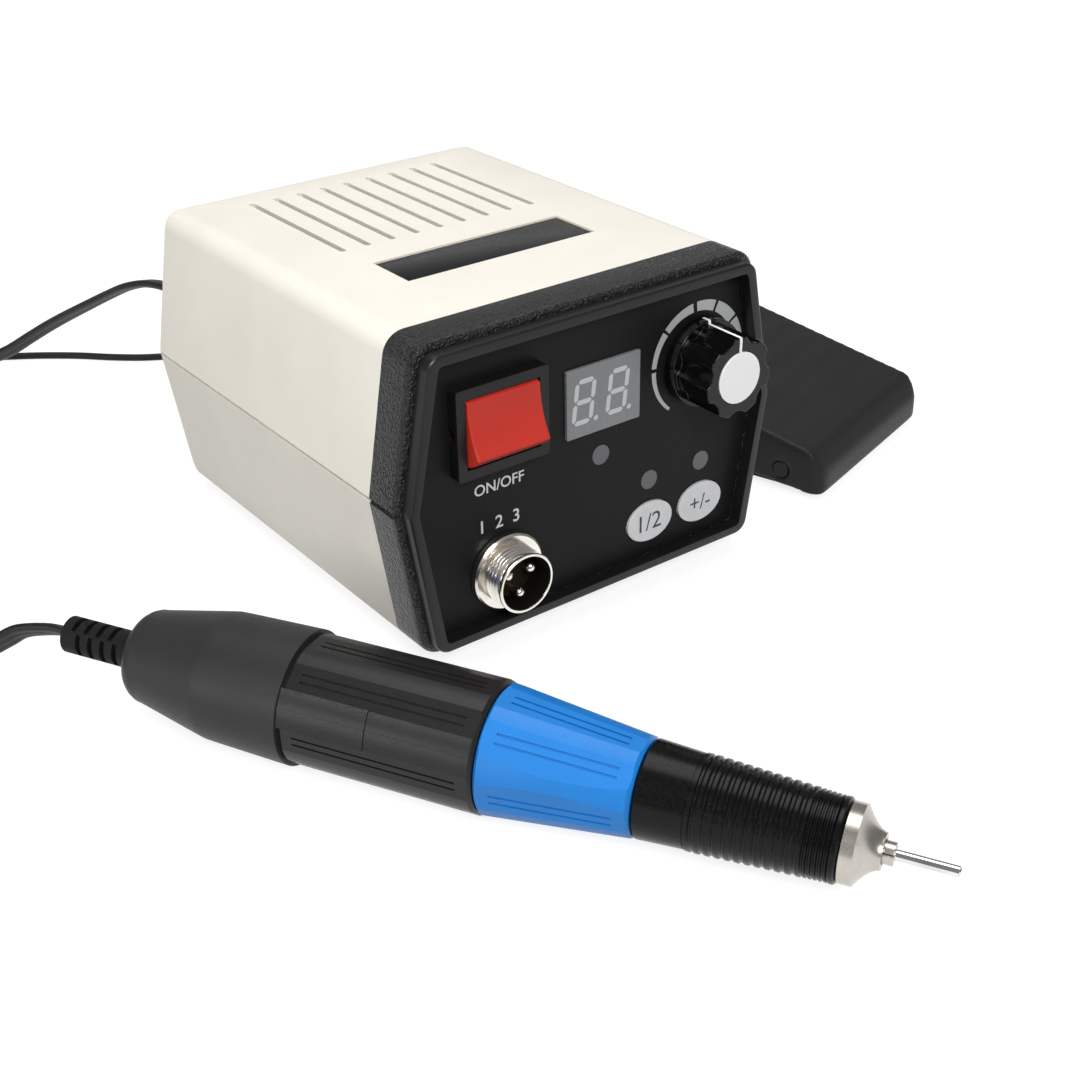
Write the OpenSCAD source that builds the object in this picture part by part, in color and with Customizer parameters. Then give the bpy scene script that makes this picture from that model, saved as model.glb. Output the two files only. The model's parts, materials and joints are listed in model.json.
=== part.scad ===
// Dental micromotor: a control box, its motor handpiece and its foot pedal, in millimetres.
// The origin is on the table under the middle of the control box. The front faces -Y and +Z is up.

/* [Control box] */
// Width at the seam between the two shells
case_w_seam = 117.4; // [110:0.2:124]
// How much narrower the case is at its top
top_draw = 14.4; // [10:0.2:18]
// How much narrower the case is at its base
base_draw = 12; // [8:0.2:16]
// Height of the case above its feet
case_h = 82; // [78:0.5:90]
// Height of the seam above the base
seam_h = 42; // [38:0.5:46]
// Depth from the front rim to the rear face
case_d = 132; // [124:1:150]
// Wall of the moulded shells
case_wall = 2.5; // [2:0.1:3]
// Radius along the case's edges
case_corner_r = 6; // [4:0.5:8]
// Radius round the rear face
rear_round = 6; // [4:0.5:8]
// Height of the groove along the seam
seam_groove = 0.8; // [0.4:0.1:1.2]
// Width of the rear face that frames the rear panel
rear_frame = 8; // [7:0.5:10]
// Thickness of the rear panel
rear_panel_t = 2; // [1.5:0.1:3]
// Height of the rubber feet
foot_h = 4; // [3:0.5:6]
// Diameter of the rubber feet
foot_d = 14; // [10:0.5:18]
// Diameter of the case screws
screw_d = 3; // [2.5:0.1:3.5]

/* [Vents] */
// Number of slots in the top
vent_count = 9; // [5:1:9]
// Distance between the slots
vent_pitch = 7.5; // [6:0.1:8]
// Length of each slot
vent_len = 50; // [30:1:54]
// Width of each slot
vent_w = 1.8; // [1.2:0.1:2.4]
// Distance from the slots to the rear face
vent_from_rear = 14; // [12:0.5:24]

/* [Plate recess] */
// Width of the shallow recess in the top
plate_w = 58; // [50:0.5:62]
// Length of the recess from front to back
plate_len = 16.5; // [14:0.5:18]
// Depth of the recess
plate_in = 0.8; // [0.4:0.1:1.2]
// Distance from the front rim to the recess
plate_from_rim = 39.5; // [36:0.5:42]

/* [Front bezel] */
// Depth of the bezel behind its rim
band_d = 15; // [13:0.5:18]
// Radius of the bezel's front edge
band_round = 1.6; // [0.8:0.1:1.8]
// How far the rim stands in from the band
rim_inset = 1.9; // [1.8:0.1:2.4]
// How far the rim stands forward of the band
rim_step = 3.6; // [2.5:0.1:4]
// Width of the rim
rim_w = 2.6; // [2:0.1:3.2]
// Depth of the panel behind the rim
panel_recess = 4.2; // [3:0.1:5]
// Thickness of the panel's wall
panel_t = 2.5; // [2:0.1:3]
// Depth of the notch in the bezel's sides at the seam
seam_notch = 1.6; // [0.8:0.1:2.2]
// Thickness of the printed overlay
overlay_t = 0.5; // [0.3:0.1:0.8]

/* [Power switch] */
// Distance from the case's left side to the switch's middle
switch_side = 29.4; // [28:0.1:30.6]
// Distance from the case's top down to the switch's middle
switch_drop = 23.8; // [22:0.1:26]
// Width of the switch frame
switch_w = 26.5; // [25.5:0.1:28]
// Height of the switch frame
switch_h = 23.3; // [22.5:0.1:25]
// How far the frame stands out from the panel
switch_proud = 3.7; // [2.5:0.1:4.5]
// Width of the rocker
rocker_w = 20.9; // [19.5:0.1:21.5]
// Radius from the rocker's pivot to its ends
rocker_r = 8.7; // [8:0.1:9]
// Tilt of the rocker either way
rocker_tilt = 16; // [12:0.5:18]
// Diameter of the rocker's trunnions
trunnion_d = 3; // [2.5:0.1:3.5]

/* [Display and keys] */
// Display position across the panel
display_x = 3.1; // [2:0.1:4]
// Distance from the case's top down to the display's middle
display_drop = 26.8; // [25:0.1:29]
// Width of the display window
display_w = 23.2; // [21:0.1:24]
// Height of the display window
display_h = 18.4; // [17:0.1:20]
// Depth of the display module
display_depth = 8; // [6:0.5:10]
// Diameter of the indicator lenses
lens_d = 5.4; // [4:0.1:6]
// Distance from the case's right side to the direction key's middle
direction_side = 21.9; // [21.2:0.1:22.7]
// Distance between the middles of the two keys
key_pitch = 17.6; // [17.2:0.1:18.2]
// Height of both keys above the base
key_up = 14.1; // [13:0.1:16]
// Width of a key
key_w = 15.2; // [13:0.1:15.5]
// Height of a key
key_h = 11.4; // [9:0.1:12]
// Travel of a key
key_travel = 0.4; // [0.2:0.05:0.6]

/* [Speed knob] */
// Distance from the case's right side to the knob's middle
knob_side = 24; // [23.2:0.1:25.2]
// Distance from the case's top down to the knob's middle
knob_drop = 25.9; // [24.4:0.1:27]
// Distance from the panel to the knob's front
knob_len = 15.4; // [14:0.1:18]
// Diameter of the knob's skirt
skirt_d = 23.4; // [22:0.1:25]
// Diameter over the knob's lobes
knob_d = 21.4; // [20:0.1:21.8]
// Number of lobes
knob_lobes = 7; // [6:1:9]
// Diameter of the white cap
cap_d = 13.6; // [11:0.1:14.5]
// Diameter of the control's shaft
shaft_d = 6; // [5:0.1:6.4]

/* [Motor socket] */
// Distance from the case's left side to the socket's middle
socket_side = 30.9; // [29.9:0.1:31.3]
// Socket height above the base
socket_up = 16.7; // [16:0.1:18]
// Diameter of the threaded barrel
socket_d = 16; // [14:0.1:17]
// How far the barrel stands out from the panel
socket_out = 9.4; // [8.4:0.1:11]
// Diameter of the contact pins
contact_d = 2; // [1.5:0.1:2.4]

/* [Rear fittings] */
// Distance from the case's side to the power cord
gland_side = 18.7; // [17:0.1:22]
// Power cord height above the base
gland_up = 48; // [46:0.5:50]
// Length of the strain relief outside the panel
gland_len = 24; // [20:1:30]
// Diameter of the pedal socket's hole
jack_d = 3.6; // [3.5:0.1:4]

/* [Handpiece] */
// Distance of the housing's front ring from the box's middle, across
hand_x = -90.6; // [-91.5:0.1:-89.5]
// Distance of the housing's front ring from the box's middle, in depth
hand_y = -73.9; // [-75:0.1:-73]
// Direction in which the handpiece points
hand_heading = -60.1; // [-60.7:0.1:-59]
// Length of the rear housing
housing_len = 45.3; // [44:0.1:48]
// Diameter of the rear housing at its front
housing_d = 31.5; // [30.6:0.1:33]
// How much slimmer the housing is at its rear
housing_taper = 4.4; // [3.6:0.1:5.2]
// Length of the motor sleeve
sleeve_len = 46.4; // [44:0.1:50]
// Diameter of the motor sleeve
sleeve_d = 30.1; // [29.6:0.1:30.4]
// Wall of the motor sleeve
sleeve_wall = 2.4; // [2.2:0.1:2.6]
// Length of the chuck collar
collar_len = 33.2; // [31:0.1:36]
// Diameter of the collar at its rear
collar_rear_d = 29.7; // [29.2:0.1:30]
// Diameter of the collar at its front
collar_front_d = 22.3; // [22:0.1:23]
// Diameter of the tube that the collar turns on
spigot_d = 17.6; // [17:0.1:18]
// Length of the front grip
grip_len = 41.8; // [40:0.1:46]
// Diameter of the grip at its rear
grip_rear_d = 21.5; // [21.2:0.1:22]
// Diameter of the grip at its front
grip_front_d = 17.3; // [17:0.1:18]
// Number of ribs on the grip
grip_ribs = 11; // [8:1:13]
// Length of the steel nose
nose_len = 7.9; // [7:0.1:10]
// Diameter of the collet's tip
collet_d = 4.9; // [4.7:0.1:5.2]
// How far the collet stands out of the nose
collet_out = 2.2; // [1.8:0.1:3.5]
// Diameter of the tool's shank
shank_d = 2.35; // [1.6:0.05:2.4]
// How far the shank stands out of the collet
shank_out = 12.9; // [8:0.1:20]
// Diameter of the spindle
spindle_d = 7; // [6.6:0.1:7.2]
// Diameter of the motor's shaft
motor_shaft_d = 4; // [3:0.1:4.4]
// Travel of the chuck's cam ring
cam_travel = 1.2; // [0.8:0.1:1.6]
// Length of the ribbed boot on the cord
boot_len = 19.9; // [16:0.1:24]
// Diameter of the ribbed boot
boot_d = 8.9; // [8:0.1:9.4]

/* [Foot pedal] */
// Pedal's near corner, across
pedal_x = 86.3; // [86:0.1:90]
// Pedal's near corner, in depth
pedal_y = -60.4; // [-64:0.1:-60]
// Direction of the pedal's end edge
pedal_heading = 17.8; // [16:0.2:18]
// Width of the pedal
pedal_w = 68.9; // [64:0.1:72]
// Length of the pedal
pedal_len = 88; // [84:0.5:88]
// Height of the upright end face
heel_h = 8.5; // [8:0.1:9.5]
// Height of the treadle behind its bevel
bevel_h = 15; // [14:0.1:16]
// Depth of the bevel
bevel_d = 4.1; // [3:0.1:5]
// Slope of the treadle at rest
tread_slope = 12.4; // [11:0.2:13]
// Wall of the treadle
tread_wall = 2.6; // [2:0.1:3]
// Distance of the hinge pin from the end face
hinge_back = 13.6; // [12.5:0.1:15]
// Height of the hinge pin
hinge_up = 7; // [6.6:0.1:7.6]
// Diameter of the hinge pin
hinge_d = 5; // [4:0.1:5.4]
// Angle that the treadle is pressed through
press_angle = 5; // [3:0.5:6]

/* [Cords] */
// Width of the flat power cord
power_w = 4.6; // [4:0.1:5]
// Thickness of the flat power cord
power_t = 2.6; // [2.2:0.1:3]
// Diameter of the pedal cord
pedal_cord_d = 2.4; // [2:0.1:2.6]
// Width of the flat handpiece cord
hand_cord_w = 6; // [5:0.1:6.4]
// Thickness of the flat handpiece cord
hand_cord_t = 2.6; // [2.2:0.1:3]
// Gap between the turns of a coil
turn_gap = 0.6; // [0.5:0.05:1]

/* [Hidden] */
$fn = 64;

// Fits: a running fit, a slip fit of fixed pieces, a clear gap and a cut's overshoot
run = 0.04;
slip = 0.05;
clear = 0.3;
over = 1;

// Widths of the case, and places on its panels, all measured from its sides and its top
case_w_top = case_w_seam - top_draw;
case_w_base = case_w_seam - base_draw;
switch_x = switch_side - case_w_seam / 2;
switch_up = case_h - switch_drop;
display_up = case_h - display_drop;
direction_x = case_w_seam / 2 - direction_side;
mode_x = direction_x - key_pitch;
knob_x = case_w_seam / 2 - knob_side;
knob_up = case_h - knob_drop;
socket_x = socket_side - case_w_seam / 2;
gland_x = gland_side - case_w_seam / 2;

// Planes of the control box, from front to back
rim_y = -case_d / 2;
back_y = case_d / 2;
shell_y = rim_y + band_d;
panel_y = rim_y + panel_recess;
panel_back = panel_y + overlay_t + panel_t;
lens_flange = 1;
board_y = panel_back + lens_flange + display_depth;
board_t = 1.6;
rear_inner = back_y - case_wall;

// Bosses that join the two shells
boss_r = screw_d / 2 + 2.5;
boss_x = case_w_top / 2 - case_wall - boss_r - 1.5;
boss_ys = [shell_y + 14, rear_inner - rear_panel_t - boss_r - 4];
screw_head_r = screw_d;
screw_head_h = 2.5;
screw_bite = 12;

function up(h) = foot_h + h;
function unit(v) = v / norm(v);

// The points of one rounded corner q between its neighbours p and s
function corner(p, q, s, r, n) =
    let (a = unit(p - q), b = unit(s - q), half = acos(a * b) / 2,
        c = q + unit(a + b) * r / sin(half), d = q + a * r / tan(half) - c,
        start = atan2(d[1], d[0]), turn = -sign(cross(a, b)) * (180 - 2 * half))
    [for (i = [0:n]) c + r * [cos(start + turn * i / n), sin(start + turn * i / n)]];

// A closed outline with each of its corners rounded to its own radius
function rounded(pts, radii, n = 6) =
    let (k = len(pts))
    [for (i = [0:k - 1]) each corner(pts[(i + k - 1) % k], pts[i], pts[(i + 1) % k], radii[i], n)];

function rect(w, h) = [[-w / 2, -h / 2], [w / 2, -h / 2], [w / 2, h / 2], [-w / 2, h / 2]];
function round_rect(w, h, r) = rounded(rect(w, h), [r, r, r, r], 4);
function oval(w, h, n = 40) = [for (i = [0:n - 1]) [w / 2 * cos(360 * i / n), h / 2 * sin(360 * i / n)]];

// The case's six-sided section, drawn in by an inset on every side
function case_outline(inset) =
    let (t = case_w_top / 2 - inset, m = case_w_seam / 2 - inset, b = case_w_base / 2 - inset,
        r = max(case_corner_r - inset, 1), low = up(inset), mid = up(seam_h), high = up(case_h - inset))
    rounded([[b, low], [m, mid], [t, high], [-t, high], [-m, mid], [-b, low]], [r, r, r, r, r, r]);

// Extrudes a drawing of the X-Z plane along Y, and one of the Y-Z plane along X
module along_y(y0, y1) rotate([90, 0, 0]) translate([0, 0, -y1]) linear_extrude(y1 - y0) children();
module along_x(x0, x1) rotate([90, 0, 90]) translate([0, 0, x0]) linear_extrude(x1 - x0) children();
module case_block(y0, y1, inset) along_y(y0, y1) polygon(case_outline(inset));
// A round bar or hole along Y, at x and a height
module rod_y(x, z, d, y0, y1) translate([x, y1, z]) rotate([90, 0, 0]) cylinder(d = d, h = y1 - y0);
module on_panel(x, h) translate([x, 0, up(h)]) children();

// Control box: shells

module case_outer() {
    thin = 0.3;
    hull() {
        case_block(shell_y, shell_y + thin, 0);
        for (a = [0:30:90])
            case_block(back_y - rear_round * (1 - sin(a)) - thin, back_y - rear_round * (1 - sin(a)),
                rear_round * (1 - cos(a)));
    }
}

module shell_hollow() {
    difference() {
        case_outer();
        case_block(shell_y - over, rear_inner, case_wall);
        case_block(rear_inner - over, back_y + over, rear_frame);
        seam_cut();
    }
}

// The groove that shows along the seam, round the outside only
module seam_cut() {
    depth = 1;
    difference() {
        translate([-case_w_seam, rim_y, up(seam_h) - seam_groove / 2])
            cube([2 * case_w_seam, case_d + over, seam_groove]);
        case_block(rim_y - over, back_y - depth, depth);
    }
}

module upper_half() {
    translate([-case_w_seam, rim_y - over, up(seam_h)]) cube([2 * case_w_seam, case_d + 2 * over, case_h]);
}

module lower_half() {
    translate([-case_w_seam, rim_y - over, up(seam_h) - case_h])
        cube([2 * case_w_seam, case_d + 2 * over, case_h]);
}

module at_bosses() for (x = [-boss_x, boss_x], y = boss_ys) translate([x, y, 0]) children();

module vent_slots() {
    y0 = back_y - vent_from_rear - vent_len;
    for (i = [0:vent_count - 1])
        translate([(i - (vent_count - 1) / 2) * vent_pitch, 0, up(case_h) - case_wall - over])
            linear_extrude(case_wall + 2 * over) {
            translate([-vent_w / 2, y0 + vent_w / 2]) square([vent_w, vent_len - vent_w]);
            for (y = [y0 + vent_w / 2, y0 + vent_len - vent_w / 2]) translate([0, y]) circle(d = vent_w);
        }
}

module upper_shell() {
    color("ivory") difference() {
        union() {
            intersection() { shell_hollow(); upper_half(); }
            at_bosses() translate([0, 0, up(seam_h)]) cylinder(r = boss_r,
                h = case_h - seam_h - case_wall / 2);
        }
        vent_slots();
        translate([-plate_w / 2, rim_y + plate_from_rim, up(case_h) - plate_in])
            cube([plate_w, plate_len, plate_in + over]);
        at_bosses() translate([0, 0, up(seam_h) - over]) cylinder(d = screw_d + 2 * slip,
            h = screw_bite + 2 + over);
    }
}

module lower_shell() {
    color("ivory") difference() {
        union() {
            intersection() { shell_hollow(); lower_half(); }
            at_bosses() translate([0, 0, up(case_wall / 2)]) cylinder(r = boss_r,
                h = seam_h - case_wall / 2);
        }
        at_bosses() translate([0, 0, up(0) - over]) cylinder(d = screw_d + 2 * slip, h = seam_h + 2 * over);
        at_bosses() translate([0, 0, up(0) - over]) cylinder(r = screw_head_r + slip,
            h = screw_head_h + over);
    }
}

module case_screws() {
    color("silver") at_bosses() {
        cylinder_z = up(screw_head_h);
        translate([0, 0, up(0.2)]) cylinder(r = screw_head_r, h = screw_head_h - 0.2);
        translate([0, 0, cylinder_z]) cylinder(d = screw_d, h = seam_h - screw_head_h + screw_bite);
    }
}

module rubber_feet() {
    inset_x = 12;
    inset_y = 22;
    taper = 1;
    color("dimgray") for (x = [-1, 1], y = [-1, 1])
        translate([x * (case_w_base / 2 - inset_x - foot_d / 2), y * (case_d / 2 - inset_y), 0])
            cylinder(d1 = foot_d - 2 * taper, d2 = foot_d, h = foot_h);
}

// Control box: front bezel and panel

module bezel_body() {
    thin = 0.1;
    band_y = rim_y + rim_step;
    rim_round = 0.8;
    hull() {
        case_block(shell_y - thin, shell_y, 0);
        for (a = [0:30:90])
            case_block(band_y + band_round * (1 - sin(a)), band_y + band_round * (1 - sin(a)) + thin,
                band_round * (1 - cos(a)));
    }
    hull() {
        case_block(band_y + over, band_y + over + thin, rim_inset);
        for (a = [0:30:90])
            case_block(rim_y + rim_round * (1 - sin(a)), rim_y + rim_round * (1 - sin(a)) + thin,
                rim_inset + rim_round * (1 - cos(a)));
    }
}

switch_body_w = rocker_w + 2 * clear + 2.6;
switch_body_h = 2 * (rocker_r + clear) + 2.6;
bush_d = shaft_d + 1.4;
lens_under = 16.5;
lens_over = 12.3;
lens_places = [[display_x - 0.4, display_up - lens_under], [mode_x - 0.3, key_up + lens_over],
    [direction_x, key_up + lens_over]];
key_places = [mode_x, direction_x];

// The holes that the panel's wall and its overlay share
module panel_holes(y0, y1) {
    on_panel(switch_x, switch_up) along_y(y0, y1) polygon(rect(switch_body_w + 2 * slip,
        switch_body_h + 2 * slip));
    on_panel(display_x, display_up) along_y(y0, y1) polygon(rect(display_w + 2 * slip,
        display_h + 2 * slip));
    for (p = lens_places) rod_y(p[0], up(p[1]), lens_d + 2 * slip, y0, y1);
    for (x = key_places) on_panel(x, key_up) along_y(y0, y1) polygon(oval(key_w + 2 * clear,
        key_h + 2 * clear));
    rod_y(knob_x, up(knob_up), bush_d + 2 * slip, y0, y1);
    rod_y(socket_x, up(socket_up), socket_d + 2 * slip, y0, y1);
}

// Corners of the control board, inside the bezel and clear of the switch and socket
board_x0 = switch_x + switch_w / 2 + 3;
board_x1 = case_w_top / 2 - case_wall - 1;
board_z0 = up(case_wall + 1.5);
board_z1 = up(case_h - case_wall - 6);
post_d = 5;
module at_posts() for (x = [board_x0 + post_d / 2, board_x1 - post_d / 2],
    z = [board_z0 + post_d / 2, board_z1 - post_d / 2])
    translate([x, 0, z]) children();

module front_bezel() {
    color([0.12, 0.12, 0.13]) difference() {
        union() {
            difference() {
                bezel_body();
                case_block(rim_y - over, panel_y + overlay_t, rim_inset + rim_w);
                case_block(panel_back, shell_y + over, case_wall);
            }
            at_posts() rod_y(0, 0, post_d, panel_back - panel_t / 2, board_y);
        }
        panel_holes(panel_y - over, panel_back + over);
        for (side = [-1, 1]) translate([side * case_w_seam / 2, 0, up(seam_h)])
            along_y(rim_y + rim_step - over, shell_y + over)
                polygon([[-side * seam_notch, 0], [side * over, -1.9], [side * over, 0.6]]);
    }
}

module panel_overlay() {
    color([0.08, 0.08, 0.09]) difference() {
        case_block(panel_y, panel_y + overlay_t, rim_inset + rim_w + slip);
        panel_holes(panel_y - over, panel_back + over);
    }
}

// Control box: power switch

switch_face = panel_y - switch_proud;
pivot_back = 2.7;
rocker_half = 52.5;
switch_depth = 18;
module at_rocker() translate([switch_x, switch_face + pivot_back, up(switch_up)]) children();

module switch_housing() {
    back_wall = 9;
    blade = [0.8, 7, 6.3];
    color([0.1, 0.1, 0.11]) difference() {
        union() {
            on_panel(switch_x, switch_up) along_y(switch_face, panel_y) polygon(round_rect(switch_w,
                switch_h, 0.8));
            on_panel(switch_x, switch_up) along_y(panel_y - over, panel_y + switch_depth)
                polygon(rect(switch_body_w, switch_body_h));
            for (x = [-6, 6], z = [-4, 4]) on_panel(switch_x + x, switch_up + z)
                translate([-blade[0] / 2, panel_y + switch_depth - over, -blade[2] / 4])
                    cube([blade[0], blade[1] + over, blade[2] / 2]);
        }
        on_panel(switch_x, switch_up) along_y(switch_face - over, panel_y + switch_depth - back_wall)
            polygon(rect(rocker_w + 2 * clear, 2 * (rocker_r + clear)));
        at_rocker() rotate([0, 90, 0]) cylinder(d = trunnion_d + 2 * run, h = switch_w * 2, center = true);
    }
}

module power_rocker() {
    face = rocker_r * cos(rocker_half);
    half_h = rocker_r * sin(rocker_half);
    hollow = 1;
    face_r = (half_h * half_h + hollow * hollow) / (2 * hollow);
    swing = asin(half_h / face_r);
    back = 2.2;
    end_turn = 40;
    n = 8;
    outline = concat(
        [for (i = [0:n]) let (a = swing - 2 * swing * i / n) [hollow - face - face_r * (1 - cos(a)),
            face_r * sin(a)]],
        [for (i = [1:n]) let (a = rocker_half + end_turn * i / n) [-rocker_r * cos(a), -rocker_r * sin(a)]],
        [[back, -half_h / 2], [back, half_h / 2]],
        [for (i = [0:n - 1]) let (a = rocker_half + end_turn * (n - i) / n) [-rocker_r * cos(a),
            rocker_r * sin(a)]]);
    color("firebrick") at_rocker() rotate([-rocker_tilt, 0, 0]) {
        along_x(-rocker_w / 2, rocker_w / 2) polygon(outline);
        rotate([0, 90, 0]) cylinder(d = trunnion_d, h = switch_body_w - 0.6, center = true);
    }
}

// Control box: display, indicators and keys

module display_window() {
    proud = 0.8;
    flange = 1.2;
    color([0.55, 0.56, 0.58]) on_panel(display_x, display_up) {
        along_y(panel_y - proud, panel_back) polygon(round_rect(display_w, display_h, 0.4));
        along_y(panel_back, panel_back + lens_flange) polygon(rect(display_w + 2 * flange,
            display_h + 2 * flange));
    }
}

module display_module() {
    border = 0.9;
    color([0.75, 0.76, 0.78]) on_panel(display_x, display_up) along_y(panel_back + lens_flange, board_y)
        polygon(rect(display_w + 2 * border, display_h + 2 * border));
}

module indicator_lenses() {
    proud = 0.2;
    color([0.5, 0.5, 0.52]) for (p = lens_places) {
        rod_y(p[0], up(p[1]), lens_d, panel_y - proud, panel_back);
        rod_y(p[0], up(p[1]), lens_d + 1.6, panel_back, panel_back + lens_flange);
    }
}

key_flange = 1.2;
key_back = panel_back + clear / 2 + key_flange;
module key(x) {
    proud = 0.6;
    color([0.78, 0.79, 0.8]) on_panel(x, key_up) {
        along_y(panel_y - proud, panel_back + clear / 2) polygon(oval(key_w, key_h));
        along_y(panel_back + clear / 2, key_back) polygon(oval(key_w + 1.6, key_h + 1.6));
    }
}
module mode_key() key(mode_x);
module direction_key() key(direction_x);

module key_switches() {
    body = 6;
    body_h = 3.5;
    stem_d = 3.4;
    color([0.2, 0.2, 0.22]) for (x = key_places) {
        on_panel(x, key_up) along_y(board_y - body_h, board_y) polygon(rect(body, body));
        rod_y(x, up(key_up), stem_d, key_back + key_travel + 0.1, board_y - body_h / 2);
    }
}

module control_board() {
    color("darkgreen") along_y(board_y, board_y + board_t) polygon([[board_x0, board_z0],
        [board_x1, board_z0], [board_x1, board_z1], [board_x0, board_z1]]);
}

// Control box: speed knob and its control

knob_gap = 0.6;
knob_front = panel_y - knob_len;
skirt_h = 3.2;
bush_out = 4;
module at_knob() translate([knob_x, panel_y, up(knob_up)]) rotate([90, 0, 0]) children();

module speed_knob() {
    flute_d = 7.5;
    flute_cut = 1.5;
    cap_seat = 0.5;
    hub_r = 8.2;
    color([0.06, 0.06, 0.07]) at_knob() difference() {
        union() {
            translate([0, 0, knob_gap]) cylinder(d = skirt_d, h = skirt_h);
            translate([0, 0, knob_gap + skirt_h / 2]) linear_extrude(knob_len - knob_gap - skirt_h / 2)
                difference() {
                circle(d = knob_d);
                for (i = [0:knob_lobes - 1]) rotate(360 * (i + 0.5) / knob_lobes)
                    translate([0, knob_d / 2 + flute_d / 2 - flute_cut]) circle(d = flute_d);
            }
        }
        cylinder(r = hub_r, h = bush_out + knob_gap);
        cylinder(d = shaft_d + 2 * slip, h = knob_len - 2.5);
        translate([0, 0, knob_len - cap_seat]) cylinder(d = cap_d + 2 * slip, h = over);
    }
}

module knob_cap() {
    cap_seat = 0.5;
    proud = 0.3;
    color("white") at_knob() translate([0, 0, knob_len - cap_seat]) cylinder(d = cap_d,
        h = cap_seat + proud);
}

module control_shaft() {
    color("silver") at_knob() translate([0, 0, -overlay_t - panel_t - 3]) cylinder(d = shaft_d,
        h = knob_len + overlay_t
        + panel_t + 3 - 3);
}

module potentiometer() {
    body_d = 16;
    body_h = 7;
    nut_af = 10;
    nut_h = 2;
    color([0.35, 0.3, 0.25]) at_knob() difference() {
        union() {
            translate([0, 0, -overlay_t - panel_t - body_h]) cylinder(d = body_d, h = body_h);
            translate([0, 0, -overlay_t - panel_t - 1]) cylinder(d = bush_d,
                h = bush_out + overlay_t + panel_t + 1 - 0.4);
            cylinder(d = nut_af / cos(30), h = nut_h, $fn = 6);
        }
        translate([0, 0, -overlay_t - panel_t - 3 - 0.2]) cylinder(d = shaft_d + 2 * run, h = 40);
    }
}

// Control box: motor socket

socket_bore = socket_d - 2.6;
contact_circle = 4;
insulator_in = 7;
socket_tail = 7;
module at_socket() translate([socket_x, panel_y, up(socket_up)]) rotate([90, 0, 0]) children();
module at_contacts() for (a = [30:120:270]) rotate(a) translate([contact_circle, 0, 0]) children();

module motor_socket() {
    flange_d = socket_d + 4.6;
    flange_h = 2.4;
    color("silver") at_socket() difference() {
        union() {
            cylinder(d = flange_d, h = flange_h);
            translate([0, 0, -overlay_t - panel_t - socket_tail])
                cylinder(d = socket_d, h = overlay_t + panel_t + socket_tail + socket_out);
        }
        translate([0, 0, -overlay_t - panel_t - socket_tail - over]) cylinder(d = socket_bore, h = 60);
    }
}

module socket_insulator() {
    color([0.1, 0.09, 0.07]) at_socket() difference() {
        translate([0, 0, -overlay_t - panel_t - socket_tail])
            cylinder(d = socket_bore - 2 * slip,
                h = overlay_t + panel_t + socket_tail + socket_out - insulator_in);
        at_contacts() translate([0, 0, -60]) cylinder(d = contact_d + 2 * slip, h = 120);
    }
}

module socket_pins() {
    tip_in = 3.3;
    color("lightgray") at_socket() at_contacts() {
        translate([0, 0, -overlay_t - panel_t - socket_tail - 3])
            cylinder(d = contact_d, h = overlay_t + panel_t + socket_tail + 3 + socket_out - tip_in);
        translate([0, 0, socket_out - tip_in - contact_d / 2]) sphere(d = contact_d + 0.5);
    }
}

module socket_nut() {
    nut_af = socket_d + 4;
    nut_h = 3;
    color("silver") at_socket() translate([0, 0, -overlay_t - panel_t - nut_h]) difference() {
        cylinder(d = nut_af / cos(30), h = nut_h, $fn = 6);
        translate([0, 0, -over]) cylinder(d = socket_d + 2 * slip, h = nut_h + 2 * over);
    }
}

// Control box: inside and rear

core = [57, 28, 47.5];
window = [9.5, 28.5];
leg_w = 19;
core_y = 14;
module at_core() translate([0, core_y, up(case_wall)]) children();

module transformer_core() {
    color("slategray") at_core() difference() {
        translate([-core[0] / 2, -core[1] / 2, 0]) cube(core);
        for (side = [-1, 1]) translate([side * (leg_w + window[0]) / 2 - window[0] / 2, -core[1],
            (core[2] - window[1]) / 2])
            cube([window[0], 2 * core[1], window[1]]);
    }
}

module transformer_winding() {
    bulge = 8;
    color("darkorange") at_core() translate([0, 0, core[2] / 2]) difference() {
        cube([leg_w + 2 * window[0] - 2 * clear, core[1] + 2 * bulge, window[1] - 2 * clear], center = true);
        cube([leg_w + 2 * slip, core[1] + 2 * slip, window[1]], center = true);
    }
}

fuse_x = 6;
fuse_bore = 12;
jack_x = 28;
jack_thread = 6;
rear_y = rear_inner - rear_panel_t;
module at_rear(x) translate([x, rear_inner, up(gland_up)]) rotate([-90, 0, 0]) children();

module rear_panel() {
    gland_hole = 10;
    color([0.12, 0.12, 0.13]) difference() {
        case_block(rear_y, rear_inner, case_wall + slip);
        rod_y(gland_x, up(gland_up), gland_hole, rear_y - over, rear_inner + over);
        rod_y(fuse_x, up(gland_up), fuse_bore + 2 * slip, rear_y - over, rear_inner + over);
        rod_y(jack_x, up(gland_up), jack_thread + 2 * slip, rear_y - over, rear_inner + over);
    }
}

module fuse_holder() {
    inside = 24;
    flange = [16, 2];
    cap = [13, 8];
    color([0.1, 0.1, 0.1]) at_rear(fuse_x) {
        translate([0, 0, -rear_panel_t - inside]) cylinder(d = fuse_bore, h = inside + rear_panel_t);
        cylinder(d = flange[0], h = flange[1]);
        difference() {
            cylinder(d = cap[0], h = flange[1] + cap[1]);
            translate([-cap[0], -0.6, flange[1] + cap[1] - 1.5]) cube([2 * cap[0], 1.2, 2]);
        }
    }
}

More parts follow.
